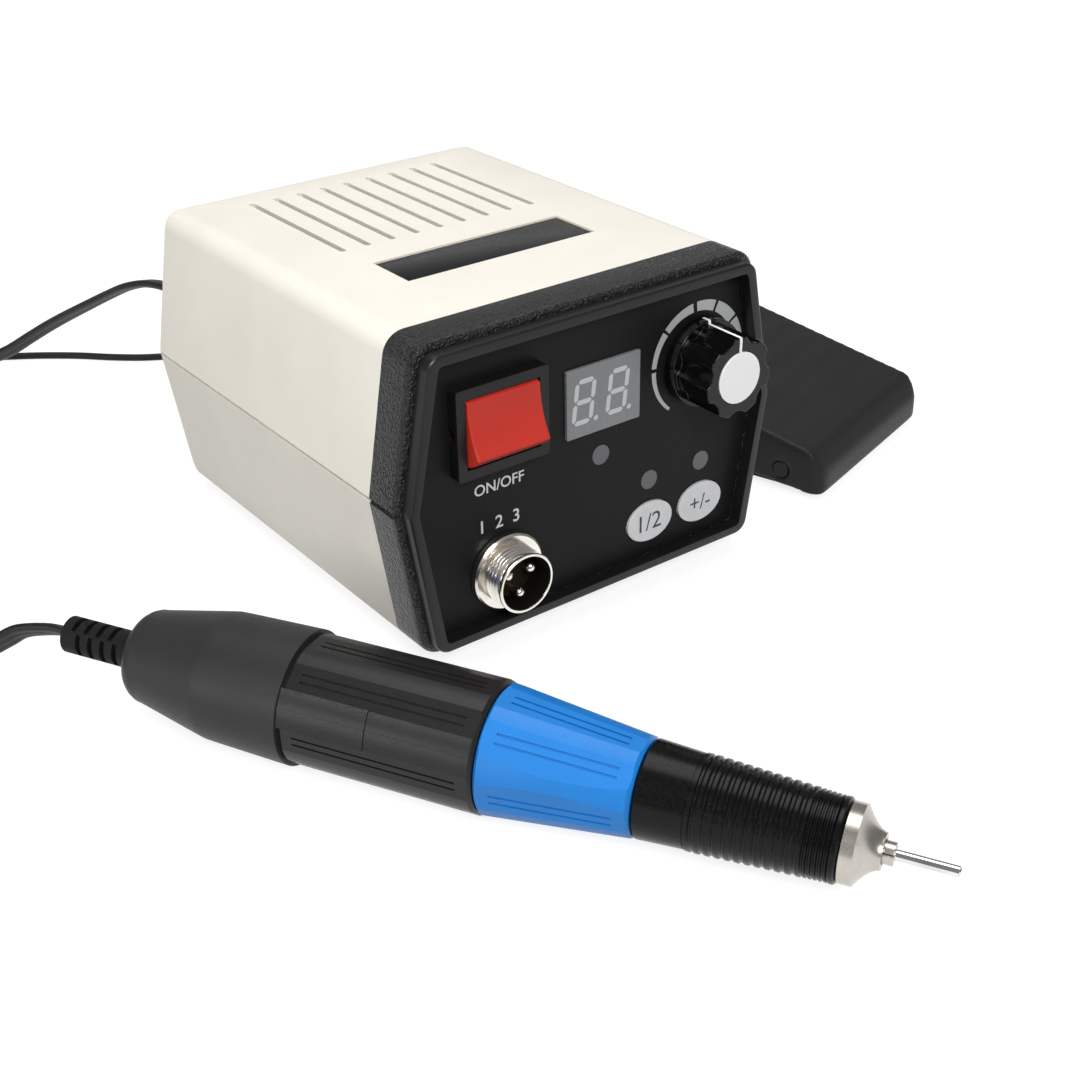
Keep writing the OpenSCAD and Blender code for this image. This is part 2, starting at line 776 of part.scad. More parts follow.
module pedal_jack() {
    body = [12, 10, 12];
    nut_af = 8;
    nut_h = 2;
    thread_out = 3;
    color([0.3, 0.3, 0.32]) at_rear(jack_x) difference() {
        union() {
            translate([0, 0, -rear_panel_t - body[1] / 2]) cube([body[0], body[2], body[1]], center = true);
            translate([0, 0, -rear_panel_t - over]) cylinder(d = jack_thread,
                h = rear_panel_t + over + thread_out);
            cylinder(d = nut_af / cos(30), h = nut_h, $fn = 6);
        }
        translate([0, 0, -rear_panel_t - body[1] + 2]) cylinder(d = jack_d, h = 40);
    }
}

module power_gland() {
    root_d = 11.5;
    tip_d = 7;
    flange_d = 14;
    flange_h = 2;
    neck_d = 9.9;
    ribs = 5;
    rib_pitch = (gland_len - flange_h - 4) / ribs;
    cut = 1;
    color([0.1, 0.1, 0.1]) at_rear(gland_x) difference() {
        union() {
            translate([0, 0, -rear_panel_t - 3]) cylinder(d = neck_d, h = rear_panel_t + 3 + over);
            translate([0, 0, -rear_panel_t - 3]) cylinder(d = flange_d, h = 3);
            cylinder(d = flange_d, h = flange_h);
            translate([0, 0, flange_h]) cylinder(d1 = root_d, d2 = tip_d, h = gland_len - flange_h);
        }
        for (i = [0:ribs - 1]) translate([0, 0, flange_h + 1.5 + i * rib_pitch]) difference() {
            cylinder(d = 2 * root_d, h = rib_pitch / 2.4);
            translate([0, 0, -over]) cylinder(d1 = root_d - 2 * cut - i * 0.9,
                d2 = root_d - 2 * cut - i * 0.9,
                h = rib_pitch + 2 * over);
        }
    }
}

// Handpiece: stations along its axis, measured from the housing's front ring

sleeve_end = sleeve_len;
collar_s0 = sleeve_end + clear;
collar_s1 = collar_s0 + collar_len;
grip_s0 = collar_s1 + clear;
grip_s1 = grip_s0 + grip_len;
nose_end = grip_s1 + nose_len;
collet_end = nose_end + collet_out;
shank_end = collet_end + shank_out;
lip_r = grip_front_d / 2 + 0.35;
// The handpiece lies on the housing's ring and on a narrow flat at the sleeve's front edge
rest_cut = 0.26;
sleeve_chamfer = 0.8;
hand_tilt = atan((housing_d / 2 - sleeve_d / 2 + rest_cut) / (sleeve_end - sleeve_chamfer));
hand_axis_up = housing_d / 2 * cos(hand_tilt);
module on_hand() translate([hand_x, hand_y, hand_axis_up]) rotate([0, 90 + hand_tilt, hand_heading])
    children();
// The place a little way out behind the cord's boot
function hand_end(out) = [hand_x, hand_y, hand_axis_up] - (housing_len + boot_len + out)
    * [cos(hand_tilt) * cos(hand_heading), cos(hand_tilt) * sin(hand_heading), -sin(hand_tilt)];
// A ring or bar round the handpiece's axis
module ring(d0, d1, s0, s1) translate([0, 0, s0]) difference() {
    cylinder(d = d1, h = s1 - s0);
    if (d0 > 0) translate([0, 0, -over]) cylinder(d = d0, h = s1 - s0 + 2 * over);
}
module bar(d, s0, s1) translate([0, 0, s0]) cylinder(d = d, h = s1 - s0);

motor_bore = sleeve_d - 2 * sleeve_wall;
race_d = 12;
race_w = 4;
spindle_race_d = 13;
web = 5;
front_web = sleeve_end - web;
boot_bore = 7.6;

module rear_housing() {
    end_r = housing_d / 2 - housing_taper;
    round_r = 5;
    shoulder = 22;
    shoulder_r = housing_d / 2 - 0.65;
    wide_bore = motor_bore - 2.4;
    narrow_bore = 2 * end_r - 5;
    outline = concat([[0, -housing_len], [end_r - round_r, -housing_len]],
        [for (a = [15:15:75]) [end_r - round_r + round_r * sin(a), -housing_len + round_r * (1 - cos(a))]],
        [[end_r, round_r - housing_len], [shoulder_r - 0.42, -shoulder - 2], [shoulder_r - 0.04, -shoulder],
            [shoulder_r + 0.07, 2 - shoulder], [housing_d / 2, 0], [0, 0]]);
    color([0.13, 0.13, 0.13]) on_hand() difference() {
        rotate_extrude() polygon(outline);
        bar(boot_bore + 2 * slip, -housing_len - over, -housing_len + 10);
        bar(narrow_bore, -housing_len + 5, -housing_len / 2);
        bar(wide_bore, -housing_len / 2 - over, -2 * web);
        bar(race_d - 3, -2 * web - over, 0);
        bar(race_d + 2 * slip, -race_w, over);
    }
}

module cord_boot() {
    ribs = 4;
    rib_pitch = 3.4;
    slot_w = 1.3;
    slot_in = 1.5;
    flare = 2.4;
    first = -housing_len - boot_len + 2.6;
    color([0.08, 0.08, 0.08]) on_hand() difference() {
        union() {
            bar(boot_d, -housing_len - boot_len, -housing_len);
            translate([0, 0, -housing_len - 4]) cylinder(d1 = boot_d, d2 = boot_d + flare, h = 4);
            bar(boot_bore, -housing_len - over, -housing_len + 5);
            bar(boot_bore + 3, -housing_len + 5, -housing_len + 7);
        }
        for (i = [0:ribs - 1], side = [-1, 1]) translate([side * boot_d / 2, 0,
            first + i * rib_pitch + slot_w / 2])
            cube([2 * slot_in, boot_d - 3, slot_w], center = true);
        for (i = [0:ribs - 1], side = [-1, 1]) translate([0, side * boot_d / 2, first + (i + 0.5)
            * rib_pitch + slot_w / 2])
            cube([boot_d - 3, 2 * slot_in, slot_w], center = true);
    }
}

// Directions of the pairs of grooves around the handpiece, four on each side of its two seams
seam_turn = 244.7;
seam_gap = 57;
function pair_turns(turn) = [for (half = [0, 180], k = [0:3]) turn + half + seam_gap / 2
    + k * (180 - seam_gap) / 3];

// Each pair of grooves lies on a flat, and a raised pad and a moulded line run along each seam
module motor_sleeve() {
    groove = 0.5;
    groove_apart = 1.8;
    groove_end = 3.6;
    flat_cut = 0.33;
    neck_len = 1;
    neck_cut = 0.9;
    pad_w = 9;
    pad_s0 = 0.15;
    pad_s1 = 21.3;
    pad_h = 0.25;
    line_w = 0.3;
    line_h = 0.1;
    line_r = sleeve_d / 2 - sleeve_wall / 2;
    color([0.07, 0.07, 0.08]) on_hand() difference() {
        union() {
            difference() {
                union() {
                    bar(sleeve_d - 2 * neck_cut, 0, neck_len + over);
                    bar(sleeve_d, neck_len, sleeve_end - sleeve_chamfer);
                    translate([0, 0, sleeve_end - sleeve_chamfer]) cylinder(d1 = sleeve_d,
                        d2 = sleeve_d - 2 * sleeve_chamfer, h = sleeve_chamfer);
                }
                for (a = pair_turns(seam_turn)) rotate(a)
                    translate([sleeve_d / 2 - flat_cut, -sleeve_d / 2, -over])
                        cube([sleeve_d, sleeve_d, sleeve_end + 2 * over]);
                translate([sleeve_d / 2 - rest_cut, -sleeve_d / 2, -over])
                    cube([sleeve_d, sleeve_d, sleeve_end + 2 * over]);
            }
            for (half = [0, 180]) rotate(seam_turn + half) {
                intersection() {
                    bar(sleeve_d + 2 * pad_h, pad_s0, pad_s1);
                    translate([line_r, -pad_w / 2, -over]) cube([sleeve_d, pad_w, sleeve_end]);
                }
                translate([line_r, -line_w / 2, pad_s0])
                    cube([sleeve_wall / 2 + pad_h + line_h, line_w, pad_s1 - pad_s0]);
                translate([line_r, -line_w / 2, pad_s1 - over])
                    cube([sleeve_wall / 2 + line_h, line_w,
                        sleeve_end - 2 * sleeve_chamfer - pad_s1 + over]);
            }
        }
        bar(motor_bore, -over, front_web);
        bar(race_d + 2 * slip, front_web - over, front_web + race_w);
        bar(race_d - 3, front_web, sleeve_end + over);
        for (a = pair_turns(seam_turn), side = [-1, 1]) rotate(a)
            translate([sleeve_d / 2 - flat_cut - groove, side * groove_apart / 2 - groove / 2, groove_end])
                cube([groove + over, groove, sleeve_end - 2 * groove_end]);
    }
}

module stator() {
    air_d = 14.4;
    ends = 2.5;
    color("peru") on_hand() {
        ring(air_d, motor_bore - 2 * slip, race_w, front_web - race_w);
        ring(air_d + 1, motor_bore - 3, race_w - ends, race_w);
        ring(air_d + 1, motor_bore - 3, front_web - race_w, front_web - race_w + ends);
    }
}

module rotor() {
    magnet_d = 13.4;
    color("gray") on_hand() {
        bar(motor_shaft_d, -race_w - 2, sleeve_end + 4);
        bar(magnet_d, race_w + 1, front_web - race_w - 1);
    }
}

module motor_bearings() {
    color("silver") on_hand() {
        ring(motor_shaft_d + 2 * run, race_d, -race_w, 0);
        ring(motor_shaft_d + 2 * run, race_d, front_web, front_web + race_w);
    }
}

coupling_s0 = sleeve_end + 1;
coupling_s1 = coupling_s0 + 8;
spindle_s0 = coupling_s1 + 0.5;
spindle_s1 = grip_s1 + 0.8;
collet_body_d = spindle_d - 2.4;
collet_s0 = spindle_s1 - 22;

module drive_coupling() {
    coupling_d = 7;
    color("orange") on_hand() ring(motor_shaft_d + 2 * slip, coupling_d, coupling_s0, coupling_s1);
}

module spindle() {
    color("lightsteelblue") on_hand() difference() {
        union() {
            bar(spindle_d, spindle_s0, spindle_s1);
            bar(motor_shaft_d, sleeve_end + 4.4, spindle_s0 + over);
        }
        bar(collet_body_d + 2 * slip, collet_s0 - 0.1, spindle_s1 + over);
    }
}

race_1 = grip_s0 + 3;
race_2 = grip_s1 - 13;
module spindle_bearings() {
    color("silver") on_hand() for (s = [race_1, race_2]) ring(spindle_d + 2 * run, spindle_race_d, s,
        s + race_w);
}

// The shank's end is turned down where the collet holds it
seat_d = shank_d - 0.35;

module collet() {
    slits = 3;
    slit_w = 0.35;
    color("gainsboro") on_hand() difference() {
        union() {
            bar(collet_body_d, collet_s0, spindle_s1 + 2 * over);
            bar(collet_d, spindle_s1 + clear, collet_end);
        }
        bar(seat_d + 2 * slip, collet_s0 + 6, collet_end + over);
        for (i = [0:slits - 1]) rotate(360 * i / slits) translate([0, -slit_w / 2, collet_end - 8])
            cube([collet_d, slit_w, 8 + over]);
    }
}

module tool_shank() {
    chamfer = 0.3;
    step = collet_end + 0.25;
    color("silver") on_hand() {
        bar(seat_d, collet_s0 + 6.4, step + 0.1);
        bar(shank_d, step, shank_end - chamfer);
        translate([0, 0, shank_end - chamfer]) cylinder(d1 = shank_d, d2 = shank_d - 2 * chamfer,
            h = chamfer);
    }
}

// Handpiece: chuck collar, cam ring and front grip

cam_pin_d = 2.4;
cam_pin_s = collar_s0 + 16;
cam_ring_d = spigot_d - 2.8;
cam_groove_d = spigot_d + 2.6;

// The collar is a cone with a flat under each pair of grooves, and swells between its ends at both seams
module chuck_collar() {
    n = 12;
    rise = 0.08;
    swell = 0.55;
    end_round = 0.8;
    turn = 6.7;
    leaf_cut = 0.33;
    groove = 0.5;
    groove_apart = 2;
    groove_end = 3.4;
    wide = 60;
    slope = atan((collar_rear_d - collar_front_d) / 2 / collar_len);
    plain = 90 - seam_gap / 2;
    function cone_r(s) = collar_rear_d / 2 + (collar_front_d - collar_rear_d) / 2
        * (s - collar_s0 - end_round) / (collar_len - 2 * end_round);
    outline = concat([[spigot_d / 2 + run, collar_s0], [collar_rear_d / 2 - end_round, collar_s0]],
        [for (i = [0:n]) let (t = i / n, s = collar_s0 + end_round + (collar_len - 2 * end_round) * t)
            [cone_r(s) + rise + swell * sin(180 * t), s]],
        [[collar_front_d / 2 - end_round, collar_s1], [spigot_d / 2 + run, collar_s1]]);
    color([0.1, 0.42, 0.8]) on_hand() difference() {
        rotate_extrude() polygon(outline);
        for (half = [0, 180]) rotate(seam_turn + turn + half + 90) difference() {
            translate([0, 0, collar_s0 - over]) linear_extrude(collar_len + 2 * over)
                polygon([[0, 0], wide * [cos(plain), -sin(plain)], wide * [cos(plain), sin(plain)]]);
            translate([0, 0, collar_s0 - 2 * over]) cylinder(r1 = cone_r(collar_s0 - 2 * over),
                r2 = cone_r(collar_s1 + 2 * over), h = collar_len + 4 * over);
        }
        bar(cam_groove_d, cam_pin_s - cam_pin_d / 2 - clear, cam_pin_s + cam_pin_d / 2 + cam_travel + clear);
        for (a = pair_turns(seam_turn + turn)) rotate(a)
            translate([collar_rear_d / 2 - leaf_cut, 0, collar_s0]) rotate([0, -slope, 0]) {
            translate([0, -collar_rear_d / 2, -over])
                cube([collar_rear_d, collar_rear_d, collar_len + 2 * over]);
            for (side = [-1, 1]) translate([-groove, side * groove_apart / 2 - groove / 2, groove_end])
                cube([groove + over, groove, collar_len - 2 * groove_end]);
        }
    }
}

module cam_ring() {
    long = 9;
    bore = spindle_d + 2;
    color("darkgray") on_hand() {
        ring(bore, cam_ring_d - 2 * run, cam_pin_s - long / 2, cam_pin_s + long / 2);
        for (a = [0, 180]) rotate(a) translate([cam_ring_d / 2 - 1.2, 0, cam_pin_s]) rotate([0, 90, 0])
            cylinder(d = cam_pin_d, h = (cam_groove_d - cam_ring_d) / 2 + 1.2 - clear);
    }
}

module front_grip() {
    smooth = 12;
    lip = 1.6;
    rib_h = 0.28;
    rib_rise = 0.2;
    fine_ribs = 5;
    rib_from = grip_s0 + smooth;
    pitch = (grip_s1 - lip - rib_from) / (grip_ribs + fine_ribs / 2);
    fine_from = rib_from + grip_ribs * pitch;
    shoulder = 0.5;
    line_w = 0.3;
    line_cut = 0.2;
    function grip_r(s) = (grip_rear_d + (grip_front_d - grip_rear_d) * (s - grip_s0) / grip_len) / 2;
    function rib(s, p) = let (r = grip_r(s) + rib_rise) [[r - rib_h, s + 0.1 * p],
        [r - rib_h, s + 0.35 * p], [r, s + 0.55 * p], [r, s + 0.9 * p]];
    outline = concat([[spindle_race_d / 2 + slip, grip_s0 - 0.01], [grip_r(grip_s0) - shoulder, grip_s0],
            [grip_r(grip_s0), grip_s0 + shoulder], [grip_r(rib_from), rib_from - 1.2],
            [grip_r(rib_from) - line_cut, rib_from - 1.2], [grip_r(rib_from) - line_cut,
                rib_from - 1.2 + line_w], [grip_r(rib_from) + rib_rise, rib_from - 1.2 + line_w],
            [grip_r(rib_from) + rib_rise, rib_from]],
        [for (i = [0:grip_ribs - 1]) each rib(rib_from + i * pitch, pitch)],
        [for (i = [0:fine_ribs - 1]) each rib(fine_from + i * pitch / 2, pitch / 2)],
        [[lip_r - rib_h, grip_s1 - lip], [lip_r, grip_s1 - lip + 0.4], [lip_r, grip_s1 - 0.4],
            [lip_r - 0.4, grip_s1], [spindle_race_d / 2 + slip, grip_s1]]);
    pin_slot = cam_pin_d + 2 * clear;
    color([0.05, 0.05, 0.06]) on_hand() difference() {
        union() {
            rotate_extrude() polygon(outline);
            ring(cam_ring_d, spigot_d, sleeve_end, grip_s0 + over);
            ring(spindle_d + 2, spindle_race_d + 1, grip_s0 - 2, race_1);
            ring(spindle_d + 2, spindle_race_d + 1, race_1 + race_w, race_2);
        }
        for (a = [0, 180]) rotate(a) translate([0, -pin_slot / 2, cam_pin_s - pin_slot / 2])
            cube([spigot_d, pin_slot, pin_slot + cam_travel]);
    }
}

module nose_cone() {
    n = 8;
    rim_r = grip_front_d / 2 - 0.2;
    rim_h = 3.1;
    tip_r = collet_d / 2 + 1.45;
    neck = grip_s1 - race_2 - race_w;
    outline = concat([[0, grip_s1], [rim_r - 0.4, grip_s1], [rim_r, grip_s1 + 0.4], [rim_r,
        grip_s1 + rim_h]],
        [for (i = [1:n]) let (t = i / n) [tip_r + (rim_r - tip_r) * pow(1 - t, 1.7),
            grip_s1 + rim_h + (nose_len - rim_h) * t]],
        [[0, nose_end]]);
    color("lightgray") on_hand() difference() {
        union() {
            rotate_extrude() polygon(outline);
            bar(spindle_race_d, grip_s1 - neck, grip_s1 + over);
        }
        bar(spindle_d + 2 * clear, grip_s1 - neck - over, spindle_s1 + clear);
        bar(collet_d + 2 * clear, grip_s1, nose_end + over);
    }
}

// Foot pedal

module at_pedal() translate([pedal_x, pedal_y, 0]) rotate([0, 0, pedal_heading]) children();
// The place a little way out along the pedal's cord relief
function pedal_end(out) = let (x = pedal_w / 2, y = pedal_len + relief_out + out)
    [pedal_x + x * cos(pedal_heading) - y * sin(pedal_heading),
        pedal_y + x * sin(pedal_heading) + y * cos(pedal_heading), cord_up];
tread_top = bevel_h + (pedal_len - bevel_d) * tan(tread_slope);
tread_low = 1;
press_drop = (pedal_len - hinge_back) * tan(press_angle);
tread_rear_low = tread_low + press_drop + 1.5;
pedal_foot_h = 1;
base_t = 3;
base_inset = tread_wall + clear + 0.3;
base_wall_h = 10;
post_w = 6;
spring_y = pedal_len - 22;
cord_up = 5;
relief_d = 6;
relief_out = 6;

// The treadle's side view, drawn in by an inset below the top and at both ends
function tread_side(inset, low) =
    let (top0 = bevel_h - inset / cos(tread_slope), rear_z = tread_top - inset / cos(tread_slope)
        - inset * tan(tread_slope))
    [[inset, low], [inset, heel_h - inset * 0.4], [bevel_d + inset * 0.3, top0 + (inset * 0.3)
        * tan(tread_slope)],
        [pedal_len - inset, rear_z], [pedal_len - inset, low == tread_low ? tread_rear_low : low]];

module treadle() {
    corner_r = 4;
    notch_w = relief_d + 4;
    outer = rounded(tread_side(0, tread_low), [0.5, 2, 3, 4, 1], 5);
    plan = round_rect(pedal_w, pedal_len, corner_r);
    color([0.12, 0.12, 0.13]) at_pedal() difference() {
        intersection() {
            along_x(0, pedal_w) polygon(outer);
            translate([pedal_w / 2, pedal_len / 2, 0]) linear_extrude(2 * tread_top) polygon(plan);
        }
        along_x(tread_wall, pedal_w - tread_wall) polygon(tread_side(tread_wall, -10));
        translate([-over, hinge_back, hinge_up]) rotate([0, 90, 0])
            cylinder(d = hinge_d + 2 * run, h = pedal_w + 2 * over);
        translate([(pedal_w - notch_w) / 2, pedal_len - tread_wall - over, 0])
            cube([notch_w, tread_wall + 2 * over, cord_up + press_drop + relief_d / 2 + 1.5]);
    }
}

module pedal_base() {
    inner_w = pedal_w - 2 * base_inset;
    color([0.16, 0.16, 0.17]) at_pedal() difference() {
        union() {
            translate([base_inset, base_inset, pedal_foot_h]) cube([inner_w, pedal_len - 2 * base_inset,
                base_t]);
            for (x = [base_inset, pedal_w - base_inset - post_w]) translate([x, hinge_back - hinge_d,
                pedal_foot_h])
                cube([post_w, 2 * hinge_d, hinge_up + hinge_d / 2 + 0.8 - pedal_foot_h]);
            translate([pedal_w / 2 - relief_d, pedal_len - base_inset - 3, pedal_foot_h])
                cube([2 * relief_d, 3,
                cord_up + relief_d / 2 - pedal_foot_h + 0.6]);
            translate([pedal_w / 2, pedal_len - base_inset - over, cord_up]) rotate([-90, 0, 0])
                cylinder(d1 = relief_d, d2 = relief_d - 2, h = base_inset + relief_out + over);
        }
        translate([0, hinge_back, hinge_up]) rotate([0, 90, 0]) cylinder(d = hinge_d + 2 * slip,
            h = pedal_w);
    }
}

module hinge_pin() {
    color("silver") at_pedal() translate([0.2, hinge_back, hinge_up]) rotate([0, 90, 0])
        cylinder(d = hinge_d, h = pedal_w - 0.4);
}

module pedal_feet() {
    pad_d = 10;
    inset = base_inset + pad_d / 2 + 1;
    color("dimgray") at_pedal() for (x = [inset, pedal_w - inset], y = [inset, pedal_len - inset])
        translate([x, y, 0]) cylinder(d = pad_d, h = pedal_foot_h);
}

module pedal_switch() {
    body = [6.4, 19.8, 9];
    plunger = [3, 3, 1.2];
    color([0.2, 0.2, 0.22]) at_pedal() translate([pedal_w / 2, pedal_len / 2 - 4, pedal_foot_h + base_t]) {
        translate([-body[0] / 2, -body[1] / 2, 0]) cube(body);
        translate([-plunger[0] / 2, -plunger[1] / 2, body[2]]) cube(plunger);
    }
}

// A tube of flat or round section through a list of [place, roll] rings, with closed ends
function sweep_points(path, half_w, half_t, sides) = [for (i = [0:len(path) - 1])
    let (last = len(path) - 1, p = path[i][0], roll = path[i][1],
        t = unit(path[min(i + 1, last)][0] - path[max(i - 1, 0)][0]),
        side = unit(cross(t, [0, 0, 1])), rise = cross(side, t))
    for (j = [0:sides - 1]) let (a = 360 * j / sides, u = half_w * cos(a), v = half_t * sin(a))
        p + (u * cos(roll) - v * sin(roll)) * side + (u * sin(roll) + v * cos(roll)) * rise];
function sweep_faces(rings, sides) = concat(
    [for (j = [1:sides - 2]) [0, j, j + 1]],
    [for (i = [0:rings - 2], j = [0:sides - 1]) let (k = (j + 1) % sides, a = i * sides + j,
        b = i * sides + k)
        each [[a, a + sides, b], [b, a + sides, b + sides]]],
    [for (j = [1:sides - 2]) let (e = (rings - 1) * sides) [e, e + j + 1, e + j]]);
module sweep(path, half_w, half_t, sides)
    polyhedron(sweep_points(path, half_w, half_t, sides), sweep_faces(len(path), sides));

// A smooth line through a route's points, with n steps between each two
function smooth_at(p, q, r, s, t) = 0.5 * (2 * q + (r - p) * t + (2 * p - 5 * q + 4 * r - s) * t * t
    + (3 * q - p - 3 * r + s) * t * t * t);
function smooth_line(pts, n) = let (k = len(pts) - 1) concat(
    [for (i = [0:k - 1], j = [0:n - 1]) smooth_at(pts[i == 0 ? 0 : i - 1], pts[i], pts[i + 1],
        pts[min(i + 2, k)], j / n)], [pts[k]]);
// A route with its section rolled steadily from one angle to another
function rolled(pts, roll0, roll1) = let (k = len(pts) - 1)
    [for (i = [0:k]) [pts[i], roll0 + (roll1 - roll0) * i / k]];

// Return spring under the treadle
spring_d = 12;
spring_wire = 1.4;
spring_turns = 6;
spring_z0 = pedal_foot_h + base_t;
spring_z1 = bevel_h + (spring_y - bevel_d) * tan(tread_slope) - tread_wall / cos(tread_slope) - spring_d / 2
    * tan(tread_slope) - clear;
module return_spring() {
    n = 10;
    rise = spring_z1 - spring_z0 - spring_wire;
    path = [for (i = [0:spring_turns * n]) let (a = 360 * i / n)
        [[spring_d / 2 * cos(a), spring_d / 2 * sin(a),
            spring_z0 + spring_wire / 2 + rise * i / (spring_turns * n)], 0]];
    color("silver") at_pedal() translate([pedal_w / 2, spring_y, 0])
        sweep(path, spring_wire / 2, spring_wire / 2, 6);
}

// A two-layer coil: the lower layer winds inwards and the upper one outwards, with a climb half a turn
// long between them. It starts at the outside at angle a0, and its last tail leaves straight.
loop_rings = 24;
// Where the spiral reverses it draws in a little more, so that the climb clears the turns beside it
climb_dip = 1.2;
function coil_radius(i, turns, r_out, pitch) = let (half = turns * loop_rings, x = (i - half) / 10)
    r_out - pitch * min(i, 2 * half - i) / loop_rings - climb_dip * max(1 - x * x, 0);
function coil_height(i, turns, z0, layer) = let (half = turns * loop_rings, climb = loop_rings / 2,
    t = min(max((i - half + climb / 2) / climb, 0), 1)) z0 + layer * t * t * (3 - 2 * t);
function coil_line(c, a0, way, turns, r_out, pitch, z0, layer) = [for (i = [0:2 * turns * loop_rings])
    let (a = a0 + way * 360 * i / loop_rings, r = coil_radius(i, turns, r_out, pitch))
    [c[0] + r * cos(a), c[1] + r * sin(a), coil_height(i, turns, z0, layer)]];
function with_ends(line, lead, tail) = let (k = len(line) - 1)
    concat([line[0] - lead * unit([line[1][0] - line[0][0], line[1][1] - line[0][1], 0])], line,
        [line[k] + tail * unit([line[k][0] - line[k - 1][0], line[k][1] - line[k - 1][1], 0])]);
function coil(c, a0, way, turns, r_out, w, t, tail) =
    with_ends(coil_line(c, a0, way, turns, r_out, t + turn_gap, w / 2, w + turn_gap), w, tail);
// Least gap between turns: across the section where they lie side by side, and down it where they pile
function coil_gap(line, w, t) = min([for (i = [0:len(line) - 1], j = [0:len(line) - 1])
    if (j > i + loop_rings / 2) let (d = line[j] - line[i])
        max(norm([d[0], d[1]]) - t, abs(d[2]) - w)]);
function line_len(pts) = let (k = len(pts) - 1) [for (i = 0, s = 0; i <= k; s = s
    + (i < k ? norm(pts[i + 1] - pts[i]) : 0), i = i + 1) s][k];

// Power cord: down from the strain relief to the table, then off to its coil
power_line = coil([-128, 168], 90, 1, 4, 33, power_w, power_t, 19);
power_route = [[gland_x, rear_inner + gland_len, up(gland_up)],
    [gland_x - 0.4, rear_inner + gland_len + 6.5, up(gland_up)], [-42, 104, 50.4], [-44.5,
    114, 47],
    [-47, 124, 42], [-50, 134, 36.5], [-53.2, 145, 30.4], [-56.6, 156, 24], [-60.5, 167, 17], [-64.4, 177,
        10.4],
    [-68.4, 186, 5.6], [-74, 194, 3.2], [-82.5, 199.5, 2.4], [-93, 202, 2.3], [-105, 202, 2.3], [-115,
        201.4, 2.3],
    power_line[0]];
echo(power_coil_gap = coil_gap(power_line, power_w, power_t), power_length = line_len(power_route)
    + line_len(power_line));

module power_cord() color([0.1, 0.1, 0.1])
    sweep(rolled(power_route, 0, 90), power_w / 2, power_t / 2, 8);
module power_coil() color([0.1, 0.1, 0.1])
    sweep(rolled(power_line, 90, 90), power_w / 2, power_t / 2, 6);

// Pedal cord: from the pedal round behind the box and off to its coil
pedal_line = coil([-98, 235], -107.5, -1, 5, 21.9, pedal_cord_d, pedal_cord_d, 13);
pedal_route = [pedal_end(0), pedal_end(4), [87.3, 51, 3.2], [83.6, 61, 1.6], [79, 72, 1.2], [73, 84, 1.2],
    [64, 96, 1.2], [53, 108, 1.2], [40, 120, 1.2], [26, 131, 1.2], [10, 143, 1.2], [-6, 153, 1.2],
    [-21, 161, 1.2], [-31, 169, 1.2], [-41, 179, 1.2], [-52, 188, 1.2], [-63, 195.5, 1.2], [-74, 203, 1.2],
    [-85, 208, 1.2], [-94, 211, 1.2], pedal_line[0]];
echo(pedal_coil_gap = coil_gap(pedal_line, pedal_cord_d, pedal_cord_d),
    pedal_length = line_len(pedal_route) + line_len(pedal_line));

module pedal_cord() color([0.1, 0.1, 0.1])
    sweep(rolled(smooth_line(pedal_route, 2), 0, 0), pedal_cord_d / 2, pedal_cord_d / 2, 8);
module pedal_coil() color([0.1, 0.1, 0.1])
    sweep(rolled(pedal_line, 0, 0), pedal_cord_d / 2, pedal_cord_d / 2, 6);

// Handpiece cord: out of the boot, down to the table and off to its coil
hand_line = coil([-190.6, 36], 20, 1, 3.5, 38, hand_cord_w, hand_cord_t, 22);
hand_route = [hand_end(0), hand_end(5), [-131, -6.3, 15.6], [-134.4, -2.2, 12.5], [-138, 2.6, 8.9],
    [-141.8, 9, 5.8], [-145.4, 16.3, 3.9], [-148.6, 25, 3.2], [-151.6, 34, 3], hand_line[0]];
echo(hand_coil_gap = coil_gap(hand_line, hand_cord_w, hand_cord_t),
    hand_length = line_len(hand_route) + line_len(hand_line));

module hand_cord() color([0.1, 0.1, 0.1])
    sweep(rolled(hand_route, 40, 90), hand_cord_w / 2, hand_cord_t / 2, 8);
module hand_coil() color([0.1, 0.1, 0.1])
    sweep(rolled(hand_line, 90, 90), hand_cord_w / 2, hand_cord_t / 2, 6);

// Places a cord's end piece on the last point of its coil, pointing the way that it leaves
module at_end(line) {
    k = len(line) - 1;
    d = line[k] - line[k - 1];
    translate(line[k]) rotate([0, 0, atan2(d[1], d[0])]) children();
}

module power_plug() {
    thick = power_line[len(power_line) - 1][2] * 2;
    relief = 24;
    body = 30;
    wide = 34;
    face = 4;
    blade_d = 4;
    blade_len = 19;
    blade_apart = 18.6;
    color([0.1, 0.1, 0.1]) at_end(power_line) {
        rotate([0, 90, 0]) cylinder(d1 = 6, d2 = 9, h = relief);
        translate([0, 0, -thick / 2]) linear_extrude(thick)
            polygon(rounded([[relief - over, -5.5], [relief + body / 2, -wide / 2], [relief + body,
                -wide / 2],
                [relief + body, wide / 2], [relief + body / 2, wide / 2], [relief - over, 5.5]],
                [1, 6, face, face, 6, 1], 5));
        for (side = [-1, 1]) translate([relief + body - over, side * blade_apart / 2, 0]) rotate([0, 90, 0])
            cylinder(d = blade_d, h = blade_len + over);
    }
}

module pedal_plug() {
    handle_d = pedal_line[len(pedal_line) - 1][2] * 2;
    relief = 14;
    handle = 18;
    tip = 14;
    color([0.1, 0.1, 0.1]) at_end(pedal_line) rotate([0, 90, 0]) {
        cylinder(d1 = 3.2, d2 = 5, h = relief);
        translate([0, 0, relief - over]) cylinder(d = handle_d, h = handle + over);
        translate([0, 0, relief + handle - over]) cylinder(d = jack_d - 0.1, h = tip + over);
    }
}

